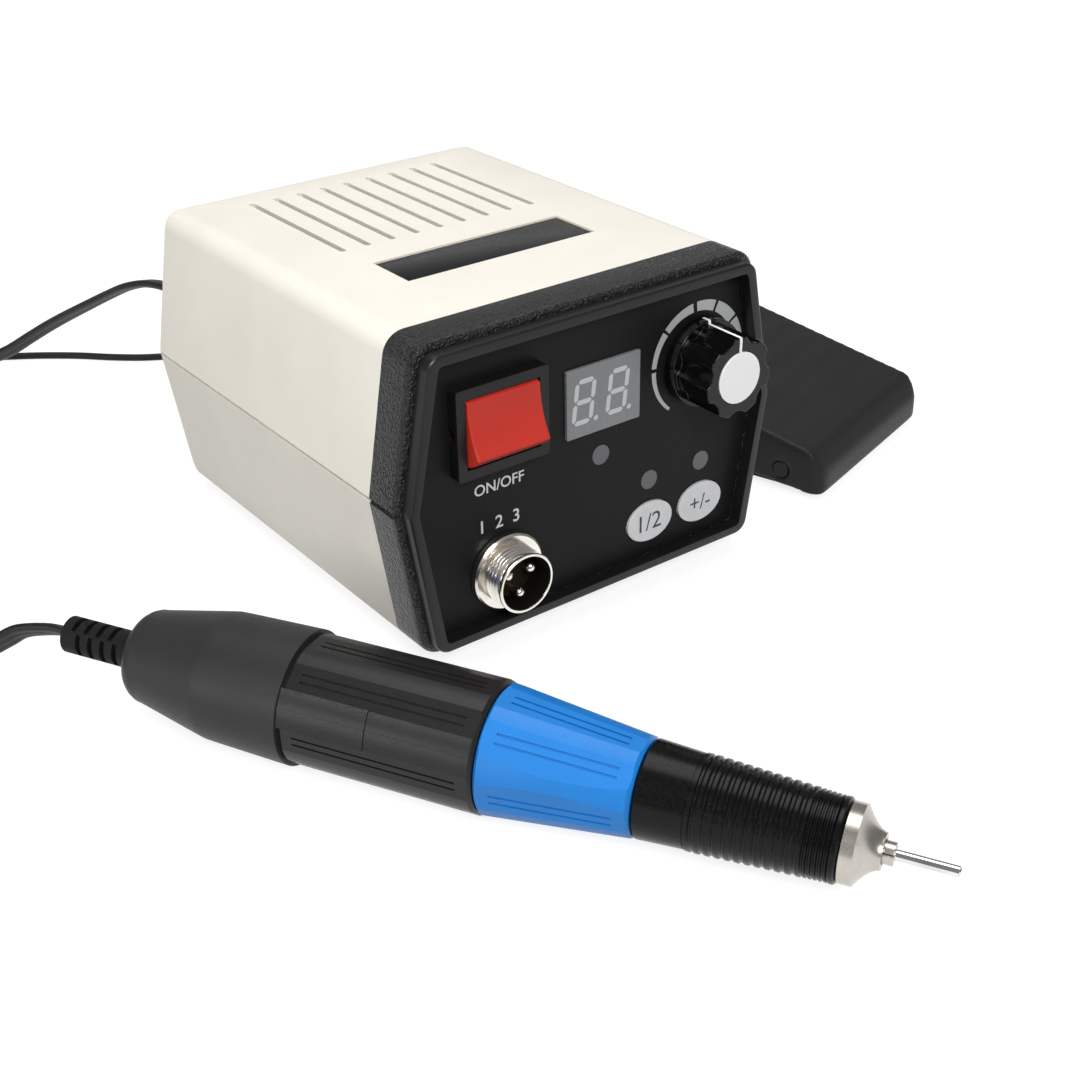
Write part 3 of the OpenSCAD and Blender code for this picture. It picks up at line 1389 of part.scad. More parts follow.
module motor_plug() {
    ring_d = hand_line[len(hand_line) - 1][2] * 2;
    relief = 20;
    barrel = 14;
    nut = 12;
    color("silver") at_end(hand_line) rotate([0, 90, 0]) difference() {
        union() {
            cylinder(d1 = 7.5, d2 = 10, h = relief);
            translate([0, 0, relief - over]) cylinder(d = ring_d - 3, h = barrel + over);
            translate([0, 0, relief + barrel - over]) cylinder(d = ring_d, h = nut + over);
        }
        translate([0, 0, relief + barrel + 3]) difference() {
            cylinder(d = socket_d + 0.4, h = nut);
            translate([0, 0, -over]) cylinder(d = socket_bore - 0.4, h = nut + 2 * over);
        }
        at_contacts() translate([0, 0, relief + barrel + 1]) cylinder(d = contact_d + 0.2, h = nut);
    }
}

upper_shell();
lower_shell();
front_bezel();
panel_overlay();
rear_panel();
switch_housing();
power_rocker();
display_window();
display_module();
indicator_lenses();
mode_key();
direction_key();
key_switches();
speed_knob();
knob_cap();
potentiometer();
control_shaft();
motor_socket();
socket_insulator();
socket_pins();
socket_nut();
control_board();
transformer_core();
transformer_winding();
fuse_holder();
pedal_jack();
power_gland();
rubber_feet();
case_screws();
cord_boot();
rear_housing();
motor_sleeve();
stator();
rotor();
motor_bearings();
drive_coupling();
spindle();
spindle_bearings();
collet();
chuck_collar();
cam_ring();
front_grip();
nose_cone();
tool_shank();
pedal_base();
treadle();
hinge_pin();
return_spring();
pedal_switch();
pedal_feet();
power_cord();
power_coil();
power_plug();
pedal_cord();
pedal_coil();
pedal_plug();
hand_cord();
hand_coil();
motor_plug();
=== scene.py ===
import json
import math

import bmesh
import bpy
from mathutils import Matrix, Vector


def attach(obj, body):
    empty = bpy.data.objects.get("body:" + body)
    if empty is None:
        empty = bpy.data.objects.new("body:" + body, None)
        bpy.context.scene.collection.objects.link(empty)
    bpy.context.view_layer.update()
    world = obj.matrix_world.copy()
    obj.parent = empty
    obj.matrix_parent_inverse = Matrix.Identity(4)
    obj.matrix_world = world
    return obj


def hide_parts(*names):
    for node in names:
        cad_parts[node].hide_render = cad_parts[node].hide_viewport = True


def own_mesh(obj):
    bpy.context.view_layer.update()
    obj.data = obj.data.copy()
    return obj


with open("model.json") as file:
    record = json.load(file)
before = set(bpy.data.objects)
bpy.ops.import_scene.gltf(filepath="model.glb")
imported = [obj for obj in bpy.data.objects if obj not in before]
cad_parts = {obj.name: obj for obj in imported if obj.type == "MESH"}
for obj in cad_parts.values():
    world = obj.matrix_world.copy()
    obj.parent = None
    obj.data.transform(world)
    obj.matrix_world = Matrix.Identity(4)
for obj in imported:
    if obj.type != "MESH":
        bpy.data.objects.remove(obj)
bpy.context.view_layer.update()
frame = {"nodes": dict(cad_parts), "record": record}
mm = 0.001
print("frame loaded:", len(frame["nodes"]), "nodes")


# shared tools for objects and meshes
def linkObject(name, data):
    obj = bpy.data.objects.new(name, data)
    bpy.context.collection.objects.link(obj)
    return obj


def evaluatedMesh(obj):
    bpy.context.view_layer.update()
    return bpy.data.meshes.new_from_object(obj.evaluated_get(bpy.context.evaluated_depsgraph_get()))


def linkMesh(name, bm, body, material, smoothAngle=None):
    mesh = bpy.data.meshes.new(name)
    if smoothAngle is not None:
        limit = math.radians(smoothAngle)
        for face in bm.faces:
            face.smooth = True
        for edge in bm.edges:
            if edge.calc_face_angle(0) > limit:
                edge.smooth = False
    bm.to_mesh(mesh)
    bm.free()
    piece = linkObject(name, mesh)
    mesh.materials.append(material)
    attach(piece, body)
    return piece


def bodyOf(node):
    for body, nodes in frame["record"]["behaviour"]["bodies"].items():
        if node in nodes:
            return body


def pieceName(node):
    words = node.split("_")
    if len(words) == 1:
        words.append("piece")
    return words[0] + "".join(w.title() for w in words[1:])


cleanSet = {"merge": 0.004, "flat": 0.4}  # millimetres between doubles, degrees between flat faces


# a copy of a node with merged corners, smooth faces and softened edges
# tip is a point, a direction and the finish of what lies past that plane
def dressNode(node, material, smoothAngle=32, edge=0.0, segments=2, tip=None):
    bm = bmesh.new()
    bm.from_mesh(frame["nodes"][node].data)
    bmesh.ops.remove_doubles(bm, verts=bm.verts, dist=cleanSet["merge"] * mm)
    bmesh.ops.dissolve_limit(bm, angle_limit=math.radians(cleanSet["flat"]), verts=bm.verts, edges=bm.edges)
    if tip:
        start, ahead, tipMaterial = tip
        everything = bm.verts[:] + bm.edges[:] + bm.faces[:]
        bmesh.ops.bisect_plane(bm, geom=everything, plane_co=start, plane_no=ahead)
        for face in bm.faces:
            face.material_index = 1 if (face.calc_center_median() - start).dot(ahead) > 0 else 0
    piece = linkMesh(pieceName(node), bm, bodyOf(node), material, smoothAngle)
    if tip:
        piece.data.materials.append(tipMaterial)
    if edge:
        soft = piece.modifiers.new("softEdge", "BEVEL")
        soft.width = edge * mm
        soft.segments = segments
        soft.limit_method = "ANGLE"
        soft.angle_limit = math.radians(smoothAngle)
        soft.harden_normals = True
    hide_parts(node)
    return piece


def dressAll(looks):
    for node, material, look in looks:
        dressNode(node, material, **look)


# the camera, fitted to the photograph's own perspective
cameraSet = {
    "place": (-225.4, -343.3, 225.0),
    "yaw": 36.55,
    "pitch": 29.73,
    "roll": 0.98,
    "lens": 53.63,
    "sensor": 36,
    "clip": (0.02, 100),  # metres
}


def makeCamera(s):
    yaw, pitch, roll = (math.radians(s[k]) for k in ("yaw", "pitch", "roll"))
    ahead = Vector((math.sin(yaw) * math.cos(pitch), math.cos(yaw) * math.cos(pitch), -math.sin(pitch)))
    level = Vector((math.cos(yaw), -math.sin(yaw), 0))
    down = ahead.cross(level)
    right = level * math.cos(roll) + down * math.sin(roll)
    below = down * math.cos(roll) - level * math.sin(roll)
    data = bpy.data.cameras.new("photoCamera")
    data.lens = s["lens"]
    data.sensor_width = s["sensor"]
    data.clip_start, data.clip_end = s["clip"]
    turn = Matrix((right, -below, -ahead)).transposed().to_4x4()
    cam = linkObject("photoCamera", data)
    cam.matrix_world = Matrix.Translation(Vector(s["place"]) * mm) @ turn
    bpy.context.scene.camera = cam


makeCamera(cameraSet)
print("camera set")


# shared tools for materials
def newMaterial(name):
    mat = bpy.data.materials.new(name)
    mat.use_nodes = True
    tree = mat.node_tree
    tree.nodes.clear()
    out = tree.nodes.new("ShaderNodeOutputMaterial")
    shader = tree.nodes.new("ShaderNodeBsdfPrincipled")
    tree.links.new(shader.outputs["BSDF"], out.inputs["Surface"])
    return mat, tree, shader


def objectPlace(tree):
    return tree.nodes.new("ShaderNodeTexCoord").outputs["Object"]


def splitAxes(tree, source):
    split = tree.nodes.new("ShaderNodeSeparateXYZ")
    tree.links.new(source, split.inputs["Vector"])
    return split.outputs


def mathNode(tree, kind, first, second=0.0):
    node = tree.nodes.new("ShaderNodeMath")
    node.operation = kind
    for socket, value in zip(node.inputs, (first, second)):
        if isinstance(value, (int, float)):
            socket.default_value = value
        else:
            tree.links.new(value, socket)
    return node.outputs["Value"]


def noiseNode(tree, size, detail, rough=0.55):
    noise = tree.nodes.new("ShaderNodeTexNoise")
    noise.inputs["Scale"].default_value = 1 / (size * mm)
    noise.inputs["Detail"].default_value = detail
    noise.inputs["Roughness"].default_value = rough
    tree.links.new(objectPlace(tree), noise.inputs["Vector"])
    return noise.outputs["Fac"]


def rampNode(tree, source, low, high, at=(0.3, 0.7)):
    ramp = tree.nodes.new("ShaderNodeValToRGB")
    for element, position, colour in zip(ramp.color_ramp.elements, at, (low, high)):
        element.position = position
        element.color = colour
    tree.links.new(source, ramp.inputs["Fac"])
    return ramp.outputs["Color"]


def bumpNode(tree, height, depth):
    bump = tree.nodes.new("ShaderNodeBump")
    bump.inputs["Distance"].default_value = depth * mm
    bump.inputs["Strength"].default_value = 1.0
    tree.links.new(height, bump.inputs["Height"])
    return bump


def shade(colour, k):
    return tuple(min(c * k, 1.0) for c in colour) + (1.0,)


def grey(value):
    return (value, value, value, 1.0)


# cloudy tint, speckled gloss and a fine grain, all on the piece's own coordinates
def grainedFinish(name, colour, tints, rough, grain, depth, spread, detail, cloudy):
    mat, tree, shader = newMaterial(name)
    fine = noiseNode(tree, grain, detail)
    cloud = noiseNode(tree, grain * cloudy, detail=2.0)
    tint = rampNode(tree, cloud, shade(colour, tints[0]), shade(colour, tints[1]))
    gloss = rampNode(tree, fine, grey(rough - spread), grey(rough + spread))
    tree.links.new(tint, shader.inputs["Base Color"])
    tree.links.new(gloss, shader.inputs["Roughness"])
    tree.links.new(bumpNode(tree, fine, depth).outputs["Normal"], shader.inputs["Normal"])
    return mat, shader


# moulded plastic, rubber or film
def mouldedFinish(name, colour, rough, grain, depth, vary=0.06, specular=0.5):
    tints = (1 - vary, 1 + vary)
    mat, shader = grainedFinish(name, colour, tints, rough, grain, depth, spread=0.08, detail=4.0, cloudy=24)
    shader.inputs["Specular IOR Level"].default_value = specular
    return mat


# turned or plated metal
def metalFinish(name, colour, rough, grain=0.35, depth=0.0012):
    tints = (0.9, 1.06)
    mat, shader = grainedFinish(name, colour, tints, rough, grain, depth, spread=0.025, detail=5.0, cloudy=16)
    shader.inputs["Metallic"].default_value = 1.0
    return mat


# each finish has its colour and roughness, then the size and the depth of its grain in millimetres
ivoryPlastic = mouldedFinish("ivoryPlastic", (0.80, 0.765, 0.685), 0.52, 0.9, 0.05, vary=0.025, specular=0.35)
panelFilm = mouldedFinish("panelFilm", (0.0075, 0.0075, 0.008), 0.46, 0.5, 0.006, specular=0.12)
blackPlastic = mouldedFinish("blackPlastic", (0.009, 0.009, 0.0095), 0.42, 0.6, 0.012, specular=0.25)
rockerRed = mouldedFinish("rockerRed", (0.53, 0.034, 0.021), 0.42, 0.7, 0.010, vary=0.04, specular=0.25)
windowGrey = mouldedFinish("windowGrey", (0.225, 0.23, 0.238), 0.30, 1.2, 0.003, specular=0.3)
lensGrey = mouldedFinish("lensGrey", (0.10, 0.10, 0.105), 0.35, 0.8, 0.004)
keySilver = mouldedFinish("keySilver", (0.70, 0.705, 0.72), 0.48, 0.25, 0.006, specular=0.3)
knobBlack = mouldedFinish("knobBlack", (0.003, 0.003, 0.0035), 0.14, 1.5, 0.004, specular=0.3)
capWhite = mouldedFinish("capWhite", (0.95, 0.95, 0.95), 0.38, 0.8, 0.004, vary=0.02)
nickelPlate = metalFinish("nickelPlate", (0.88, 0.845, 0.78), 0.22)
toolSteel = metalFinish("toolSteel", (0.53, 0.495, 0.45), 0.28)
shankChrome = metalFinish("shankChrome", (0.72, 0.72, 0.74), 0.12)
insulatorBrown = mouldedFinish("insulatorBrown", (0.014, 0.011, 0.007), 0.50, 0.5, 0.010, specular=0.1)
# a near-black finish that paints the shade inside the socket's bore
paintedShadeBlack = mouldedFinish("paintedShadeBlack", (0.006, 0.005, 0.004), 0.60, 0.5, 0.004, specular=0.05)
housingBlack = mouldedFinish("housingBlack", (0.024, 0.024, 0.025), 0.46, 0.45, 0.012, specular=0.22)
sleeveBlack = mouldedFinish("sleeveBlack", (0.014, 0.014, 0.015), 0.34, 0.45, 0.010, specular=0.24)
collarBlue = mouldedFinish("collarBlue", (0.008, 0.185, 0.575), 0.38, 0.40, 0.050, vary=0.03, specular=0.35)
gripBlack = mouldedFinish("gripBlack", (0.003, 0.003, 0.0035), 0.25, 0.6, 0.004, specular=0.18)
pedalBlack = mouldedFinish("pedalBlack", (0.019, 0.019, 0.0195), 0.42, 0.7, 0.010, specular=0.16)
cordBlack = mouldedFinish("cordBlack", (0.010, 0.010, 0.011), 0.44, 0.5, 0.010, specular=0.25)
footRubber = mouldedFinish("footRubber", (0.008, 0.008, 0.008), 0.62, 0.5, 0.015, specular=0.15)
boardGreen = mouldedFinish("boardGreen", (0.012, 0.11, 0.035), 0.35, 0.8, 0.010)
copperWire = metalFinish("copperWire", (0.60, 0.28, 0.12), 0.32, 0.3, 0.03)
labelWhite = mouldedFinish("labelWhite", (0.62, 0.62, 0.62), 0.5, 0.4, 0.002, vary=0.02)
segmentGrey = mouldedFinish("segmentGrey", (0.56, 0.57, 0.58), 0.4, 0.5, 0.002, vary=0.02)
dialSilver = mouldedFinish("dialSilver", (0.42, 0.43, 0.44), 0.42, 0.3, 0.003, vary=0.03)
keyLine = mouldedFinish("keyLine", (0.72, 0.73, 0.74), 0.45, 0.4, 0.002, vary=0.02)
markBlack = mouldedFinish("markBlack", (0.03, 0.03, 0.032), 0.5, 0.4, 0.002)
plateBlack = mouldedFinish("plateBlack", (0.010, 0.010, 0.0105), 0.34, 0.6, 0.004, specular=0.12)

# the bezel: a coarse sparkling grain on its outer band and a smooth rim in front
bezelSet = {
    "grain": 0.75, "depth": 0.26, "cells": (0.38, 0.62), "rimFrom": -62.45, "specular": 0.32,
    "rimGloss": 0.34, "bandGloss": 0.19, "low": (0.009, 0.009, 0.0095, 1), "high": (0.012, 0.012, 0.0125, 1),
}


def bezelFinish(s):
    mat, tree, shader = newMaterial("bezelBlack")
    coarse = noiseNode(tree, s["grain"], detail=2.0, rough=0.5)
    cells = rampNode(tree, coarse, grey(0), grey(1), s["cells"])
    onBand = mathNode(tree, "GREATER_THAN", splitAxes(tree, objectPlace(tree))["Y"], s["rimFrom"] * mm)
    height = mathNode(tree, "MULTIPLY", cells, onBand)
    tint = rampNode(tree, height, s["low"], s["high"], (0, 1))
    gloss = rampNode(tree, onBand, grey(s["rimGloss"]), grey(s["bandGloss"]), (0, 1))
    tree.links.new(tint, shader.inputs["Base Color"])
    tree.links.new(gloss, shader.inputs["Roughness"])
    shader.inputs["Specular IOR Level"].default_value = s["specular"]
    tree.links.new(bumpNode(tree, height, s["depth"]).outputs["Normal"], shader.inputs["Normal"])
    return mat


bezelBlack = bezelFinish(bezelSet)

# the treadle: the pedal's plastic with faint wide ribs across the top, square to its own heading
treadSet = {"corner": (86.3, -60.4), "heading": 17.8, "period": 9.0, "depth": 0.05, "sides": (4.0, 64.9)}


def treadFinish(s):
    mat = pedalBlack.copy()
    mat.name = "treadBlack"
    tree = mat.node_tree
    grain = next(n for n in tree.nodes if n.type == "BUMP")
    shader = next(n for n in tree.nodes if n.type == "BSDF_PRINCIPLED")
    turn = tree.nodes.new("ShaderNodeMapping")
    turn.vector_type = "TEXTURE"
    turn.inputs["Location"].default_value = (s["corner"][0] * mm, s["corner"][1] * mm, 0)
    turn.inputs["Rotation"].default_value = (0, 0, math.radians(s["heading"]))
    tree.links.new(objectPlace(tree), turn.inputs["Vector"])
    axes = splitAxes(tree, turn.outputs["Vector"])
    wave = mathNode(tree, "SINE", mathNode(tree, "MULTIPLY", axes["Y"], 2 * math.pi / (s["period"] * mm)))
    pastLeft = mathNode(tree, "GREATER_THAN", axes["X"], s["sides"][0] * mm)
    beforeRight = mathNode(tree, "LESS_THAN", axes["X"], s["sides"][1] * mm)
    inside = mathNode(tree, "MULTIPLY", pastLeft, beforeRight)
    ribs = bumpNode(tree, mathNode(tree, "MULTIPLY", wave, inside), s["depth"])
    tree.links.new(grain.outputs["Normal"], ribs.inputs["Normal"])
    tree.links.new(ribs.outputs["Normal"], shader.inputs["Normal"])
    return mat


treadBlack = treadFinish(treadSet)
print("finishes made")


# cords: the same routes as the part's own, in millimetres here and metres in the mesh
def smoothLine(points, steps):
    pts = [Vector(p) for p in points]
    last = len(pts) - 1
    line = []
    for i in range(last):
        p, q, r, s = pts[max(i - 1, 0)], pts[i], pts[i + 1], pts[min(i + 2, last)]
        for j in range(steps):
            t = j / steps
            line.append(0.5 * (2 * q + (r - p) * t + (2 * p - 5 * q + 4 * r - s) * t * t
                               + (3 * q - p - 3 * r + s) * t ** 3))
    return line + [pts[last]]


# a coil runs in, dips in radius and climbs over itself at its middle, and runs out on top
# the spans of the dip and the climb are in turns, each way from the middle
windSet = {"perTurn": 48, "dipSpan": 10 / 24, "climbSpan": 6 / 24}


def coilLine(s, wind):
    perTurn = wind["perTurn"]
    half = s["turns"] * perTurn
    line = []
    for i in range(int(2 * half) + 1):
        fromMiddle = (i - half) / perTurn
        dip = max(1 - (fromMiddle / wind["dipSpan"]) ** 2, 0)
        radius = s["radius"] - s["pitch"] * min(i, 2 * half - i) / perTurn - s["dip"] * dip
        t = min(max(0.5 + 0.5 * fromMiddle / wind["climbSpan"], 0), 1)
        angle = math.radians(s["start"] + s["way"] * 360 * i / perTurn)
        x, y = s["centre"][0] + radius * math.cos(angle), s["centre"][1] + radius * math.sin(angle)
        line.append(Vector((x, y, s["low"] + s["rise"] * t * t * (3 - 2 * t))))
    lead = line[0] - line[1]
    tail = line[-1] - line[-2]
    lead.z = tail.z = 0
    return [line[0] + lead.normalized() * s["lead"]] + line + [line[-1] + tail.normalized() * s["tail"]]


# the section of a cord: an oval with a groove between neighbouring cores
def cordSection(name, s):
    section = bpy.data.curves.new(name, "CURVE")
    section.dimensions = "2D"
    ring = section.splines.new("POLY")
    ring.points.add(s["sides"] - 1)
    ring.use_cyclic_u = True
    for i, point in enumerate(ring.points):
        a = 2 * math.pi * i / s["sides"]
        x = s["width"] / 2 * math.cos(a)
        across = math.pi * s["cores"] * (x / s["width"] + 0.5)
        groove = s["groove"] * (1 - abs(math.cos(across + math.pi / 2)))
        flat = abs(math.sin(a)) ** s["square"] * (1 if math.sin(a) > 0 else -1)
        inside = 1 if abs(x) < s["width"] * (0.5 - 0.5 / s["cores"]) else 0
        point.co = (x * mm, (s["thick"] / 2 - groove * inside) * flat * mm, 0, 1)
    return linkObject(name, section)


# one tube along the route and the coil, rolled from lying flat to standing on edge
def makeCord(name, s, coil):
    wound = coilLine(coil, windSet)
    route = smoothLine(s["route"] + [wound[0]], s["steps"])[:-1]
    line = route + wound
    curve = bpy.data.curves.new(name, "CURVE")
    curve.dimensions = "3D"
    curve.twist_mode = "Z_UP"
    spline = curve.splines.new("POLY")
    spline.points.add(len(line) - 1)
    for i, p in enumerate(line):
        share = min(i / (len(route) - 1), 1)
        spline.points[i].co = (p.x * mm, p.y * mm, p.z * mm, 1)
        spline.points[i].tilt = math.radians(s["roll"][0] + (s["roll"][1] - s["roll"][0]) * share)
    section = cordSection(name + "Section", s)
    cord = linkObject(name, curve)
    curve.bevel_mode = "OBJECT"
    curve.bevel_object = section
    curve.use_fill_caps = True
    mesh = evaluatedMesh(cord)
    mesh.name = name
    bpy.data.objects.remove(cord)
    bpy.data.objects.remove(section)
    piece = linkObject(name, mesh)
    for polygon in mesh.polygons:
        polygon.use_smooth = True
    mesh.materials.clear()
    mesh.materials.append(cordBlack)
    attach(piece, "base")
    return piece, [p * mm for p in line]


# metalFrom is how far past the end of its cord the metal of a plug begins
powerSet = {
    "width": 4.6, "thick": 2.6, "cores": 2, "groove": 0.35, "square": 0.8, "sides": 24, "roll": (0, 90),
    "steps": 4, "metalFrom": 63.5,
    "route": [(-40, 87.5, 52), (-40.4, 94, 52), (-42, 104, 50.4), (-44.5, 114, 47), (-47, 124, 42),
              (-50, 134, 36.5), (-53.2, 145, 30.4), (-56.6, 156, 24), (-60.5, 167, 17), (-64.4, 177, 10.4),
              (-68.4, 186, 5.6), (-74, 194, 3.2), (-82.5, 199.5, 2.4), (-93, 202, 2.3), (-105, 202, 2.3),
              (-115, 201.4, 2.3)],
}
powerCoil = {"centre": (-128, 168), "start": 90, "way": 1, "turns": 4, "radius": 33, "pitch": 3.2, "dip": 1.2,
             "low": 2.3, "rise": 5.2, "lead": 4.6, "tail": 19}
pedalSet = {
    "width": 2.4, "thick": 2.4, "cores": 1, "groove": 0, "square": 1, "sides": 16, "roll": (0, 0),
    "steps": 4, "metalFrom": 32.1,
    "route": [(90.4, 39.63, 5), (89.14, 43.44, 5), (87.3, 51, 3.2), (83.6, 61, 1.6), (79, 72, 1.2),
              (73, 84, 1.2), (64, 96, 1.2), (53, 108, 1.2), (40, 120, 1.2), (26, 131, 1.2), (10, 143, 1.2),
              (-6, 153, 1.2), (-21, 161, 1.2), (-31, 169, 1.2), (-41, 179, 1.2), (-52, 188, 1.2),
              (-63, 195.5, 1.2), (-74, 203, 1.2), (-85, 208, 1.2), (-94, 211, 1.2)],
}
pedalCoil = {"centre": (-98, 235), "start": -107.5, "way": -1, "turns": 5, "radius": 21.9, "pitch": 3.0,
             "dip": 1.2, "low": 1.2, "rise": 3.0, "lead": 2.4, "tail": 13}
handSet = {
    "width": 6.0, "thick": 2.6, "cores": 3, "groove": 0.35, "square": 0.75, "sides": 30, "roll": (40, 90),
    "steps": 6,
    "route": [(-123.09, -17.39, 17.12), (-125.59, -13.06, 17.22), (-131, -6.3, 15.6), (-134.4, -2.2, 12.5),
              (-138, 2.6, 8.9), (-141.8, 9, 5.8), (-145.4, 16.3, 3.9), (-148.6, 25, 3.2), (-151.6, 34, 3)],
}
handCoil = {"centre": (-190.6, 36), "start": 20, "way": 1, "turns": 3.5, "radius": 38, "pitch": 3.2,
            "dip": 1.2, "low": 3.0, "rise": 6.6, "lead": 6, "tail": 22}

powerCord, powerPath = makeCord("powerLead", powerSet, powerCoil)
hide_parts("power_cord", "power_coil")
pedalCord, pedalPath = makeCord("pedalLead", pedalSet, pedalCoil)
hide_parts("pedal_cord", "pedal_coil")
handCord, handPath = makeCord("handpieceLead", handSet, handCoil)
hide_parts("hand_cord", "hand_coil")


def pathLength(path):
    return sum((b - a).length for a, b in zip(path, path[1:]))


def plugTip(path, distance):
    ahead = (path[-1] - path[-2]).normalized()
    return path[-1] + ahead * distance * mm, ahead, nickelPlate


powerPlug = dressNode("power_plug", cordBlack, edge=0.6, tip=plugTip(powerPath, powerSet["metalFrom"]))
pedalPlug = dressNode("pedal_plug", cordBlack, edge=0.2, tip=plugTip(pedalPath, pedalSet["metalFrom"]))
motorPlug = dressNode("motor_plug", nickelPlate, edge=0.2)
print("cords laid:", [round(pathLength(p), 3) for p in (powerPath, pedalPath, handPath)])

# the control box: each node's finish, with the bevel of its edges in millimetres or its own smoothing angle
boxLooks = (
    ("upper_shell", ivoryPlastic, {"smoothAngle": 24}),
    ("lower_shell", ivoryPlastic, {"smoothAngle": 24}),
    ("front_bezel", bezelBlack, {"smoothAngle": 24}),
    ("panel_overlay", panelFilm, {}),
    ("rear_panel", blackPlastic, {}),
    ("switch_housing", blackPlastic, {"edge": 0.25}),
    ("power_rocker", rockerRed, {"edge": 0.35, "segments": 3}),
    ("display_window", windowGrey, {"edge": 0.15}),
    ("display_module", segmentGrey, {}),
    ("indicator_lenses", lensGrey, {"edge": 0.1}),
    ("mode_key", keySilver, {"edge": 0.2, "segments": 3}),
    ("direction_key", keySilver, {"edge": 0.2, "segments": 3}),
    ("key_switches", blackPlastic, {}),
    ("speed_knob", knobBlack, {"edge": 0.4, "segments": 3}),
    ("knob_cap", capWhite, {"edge": 0.15}),
    ("potentiometer", toolSteel, {}),
    ("control_shaft", toolSteel, {}),
    ("socket_insulator", insulatorBrown, {}),
    ("socket_nut", nickelPlate, {}),
    ("control_board", boardGreen, {}),
    ("transformer_core", toolSteel, {}),
    ("transformer_winding", copperWire, {}),
    ("fuse_holder", blackPlastic, {"edge": 0.3}),
    ("pedal_jack", blackPlastic, {"edge": 0.2}),
    ("power_gland", footRubber, {"edge": 0.2}),
    ("rubber_feet", footRubber, {"edge": 0.4}),
    ("case_screws", toolSteel, {"edge": 0.2}),
)
dressAll(boxLooks)
print("control box dressed")

# the handpiece, from its boot to its shank
handpieceLooks = (
    ("cord_boot", footRubber, {"edge": 0.15}),
    ("rear_housing", housingBlack, {"edge": 0.25}),
    ("motor_sleeve", sleeveBlack, {"smoothAngle": 9}),
    ("stator", copperWire, {}),
    ("rotor", toolSteel, {}),
    ("motor_bearings", toolSteel, {}),
    ("drive_coupling", footRubber, {}),
    ("spindle", toolSteel, {}),
    ("spindle_bearings", toolSteel, {}),
    ("collet", toolSteel, {"edge": 0.08}),
    ("chuck_collar", collarBlue, {"smoothAngle": 9}),
    ("cam_ring", toolSteel, {}),
    ("front_grip", gripBlack, {}),
    ("nose_cone", toolSteel, {}),
    ("tool_shank", shankChrome, {}),
)
dressAll(handpieceLooks)
print("handpiece dressed")

# the foot pedal: one remesh along the treadle's own sides and rounds of smoothing soften all its edges
roundSet = {"cell": 0.8, "rounds": 14, "pull": 0.5, "heading": treadSet["heading"]}


def roundAll(piece, s):
    turn = Matrix.Rotation(math.radians(s["heading"]), 4, "Z")
    piece.data.transform(turn.inverted())
    cells = piece.modifiers.new("evenCells", "REMESH")
    cells.mode = "VOXEL"
    cells.voxel_size = s["cell"] * mm
    cells.use_smooth_shade = True
    soften = piece.modifiers.new("roundEdges", "SMOOTH")
    soften.factor = s["pull"]
    soften.iterations = s["rounds"]
    mesh = evaluatedMesh(piece)
    mesh.transform(turn)
    piece.modifiers.clear()
    piece.data = mesh


dressNode("pedal_base", pedalBlack, edge=0.3)
roundAll(dressNode("treadle", treadBlack), roundSet)
dressNode("hinge_pin", pedalBlack, edge=0.3)
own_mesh(dressNode("return_spring", toolSteel))
dressNode("pedal_switch", blackPlastic)
dressNode("pedal_feet", footRubber)
print("pedal dressed")

# the motor socket: radii and heights from the face of the panel, a plain core and a helical thread round it
socketSet = {
    "x": -27.8, "z": 20.7, "panel": -61.8, "sides": 96, "smoothAngle": 40,
    "flange": (10.3, 2.4), "flangeEdges": (0.3, 0.5), "bore": 6.7, "out": 9.4, "tail": 10.0,
    "crest": 8.0, "root": 7.0, "sunk": 0.03, "lip": 0.7, "lipEdge": 0.2, "mouth": (0.6, 1.6),
    "pitch": 1.1, "threadFrom": 0.1, "crown": 0.05, "tooth": (0.40, 0.44, 0.48, 0.52, 0.92),
}
# the sleeve of painted shade in the socket's bore: its slip inside the bore, its wall, its depth and bends
# from the mouth, and its mouth, in millimetres
paintedShadeSet = {"slip": 0.03, "wall": 0.12, "depth": 7.2, "bends": (1.62, 1.7), "mouth": (0.5, 0.2)}
pinSet = {"radius": 1.0, "ball": 1.5, "ballIn": 3.6, "circle": 4.0, "turns": (30, 150, 270), "back": 3.0,
          "sides": 32, "steps": 12}


# an outline of (radius, height) points turned once round an upright axis
def spinOutline(bm, outline, sides, centre=(0, 0), closed=True):
    x, y = centre
    verts = [bm.verts.new((x + r * mm, y, h * mm)) for r, h in outline]
    nexts = verts[1:] + verts[:1] if closed else verts[1:]
    edges = [bm.edges.new(pair) for pair in zip(verts, nexts)]
    bmesh.ops.spin(bm, geom=verts + edges, cent=(x, y, 0), axis=(0, 0, 1), angle=2 * math.pi, steps=sides,
                   use_merge=True)


def seatInPanel(bm, s):
    bmesh.ops.recalc_face_normals(bm, faces=bm.faces)
    turn = Matrix.Rotation(math.pi / 2, 4, "X")
    place = Matrix.Translation((s["x"] * mm, s["panel"] * mm, s["z"] * mm))
    bmesh.ops.transform(bm, matrix=place @ turn, verts=bm.verts)


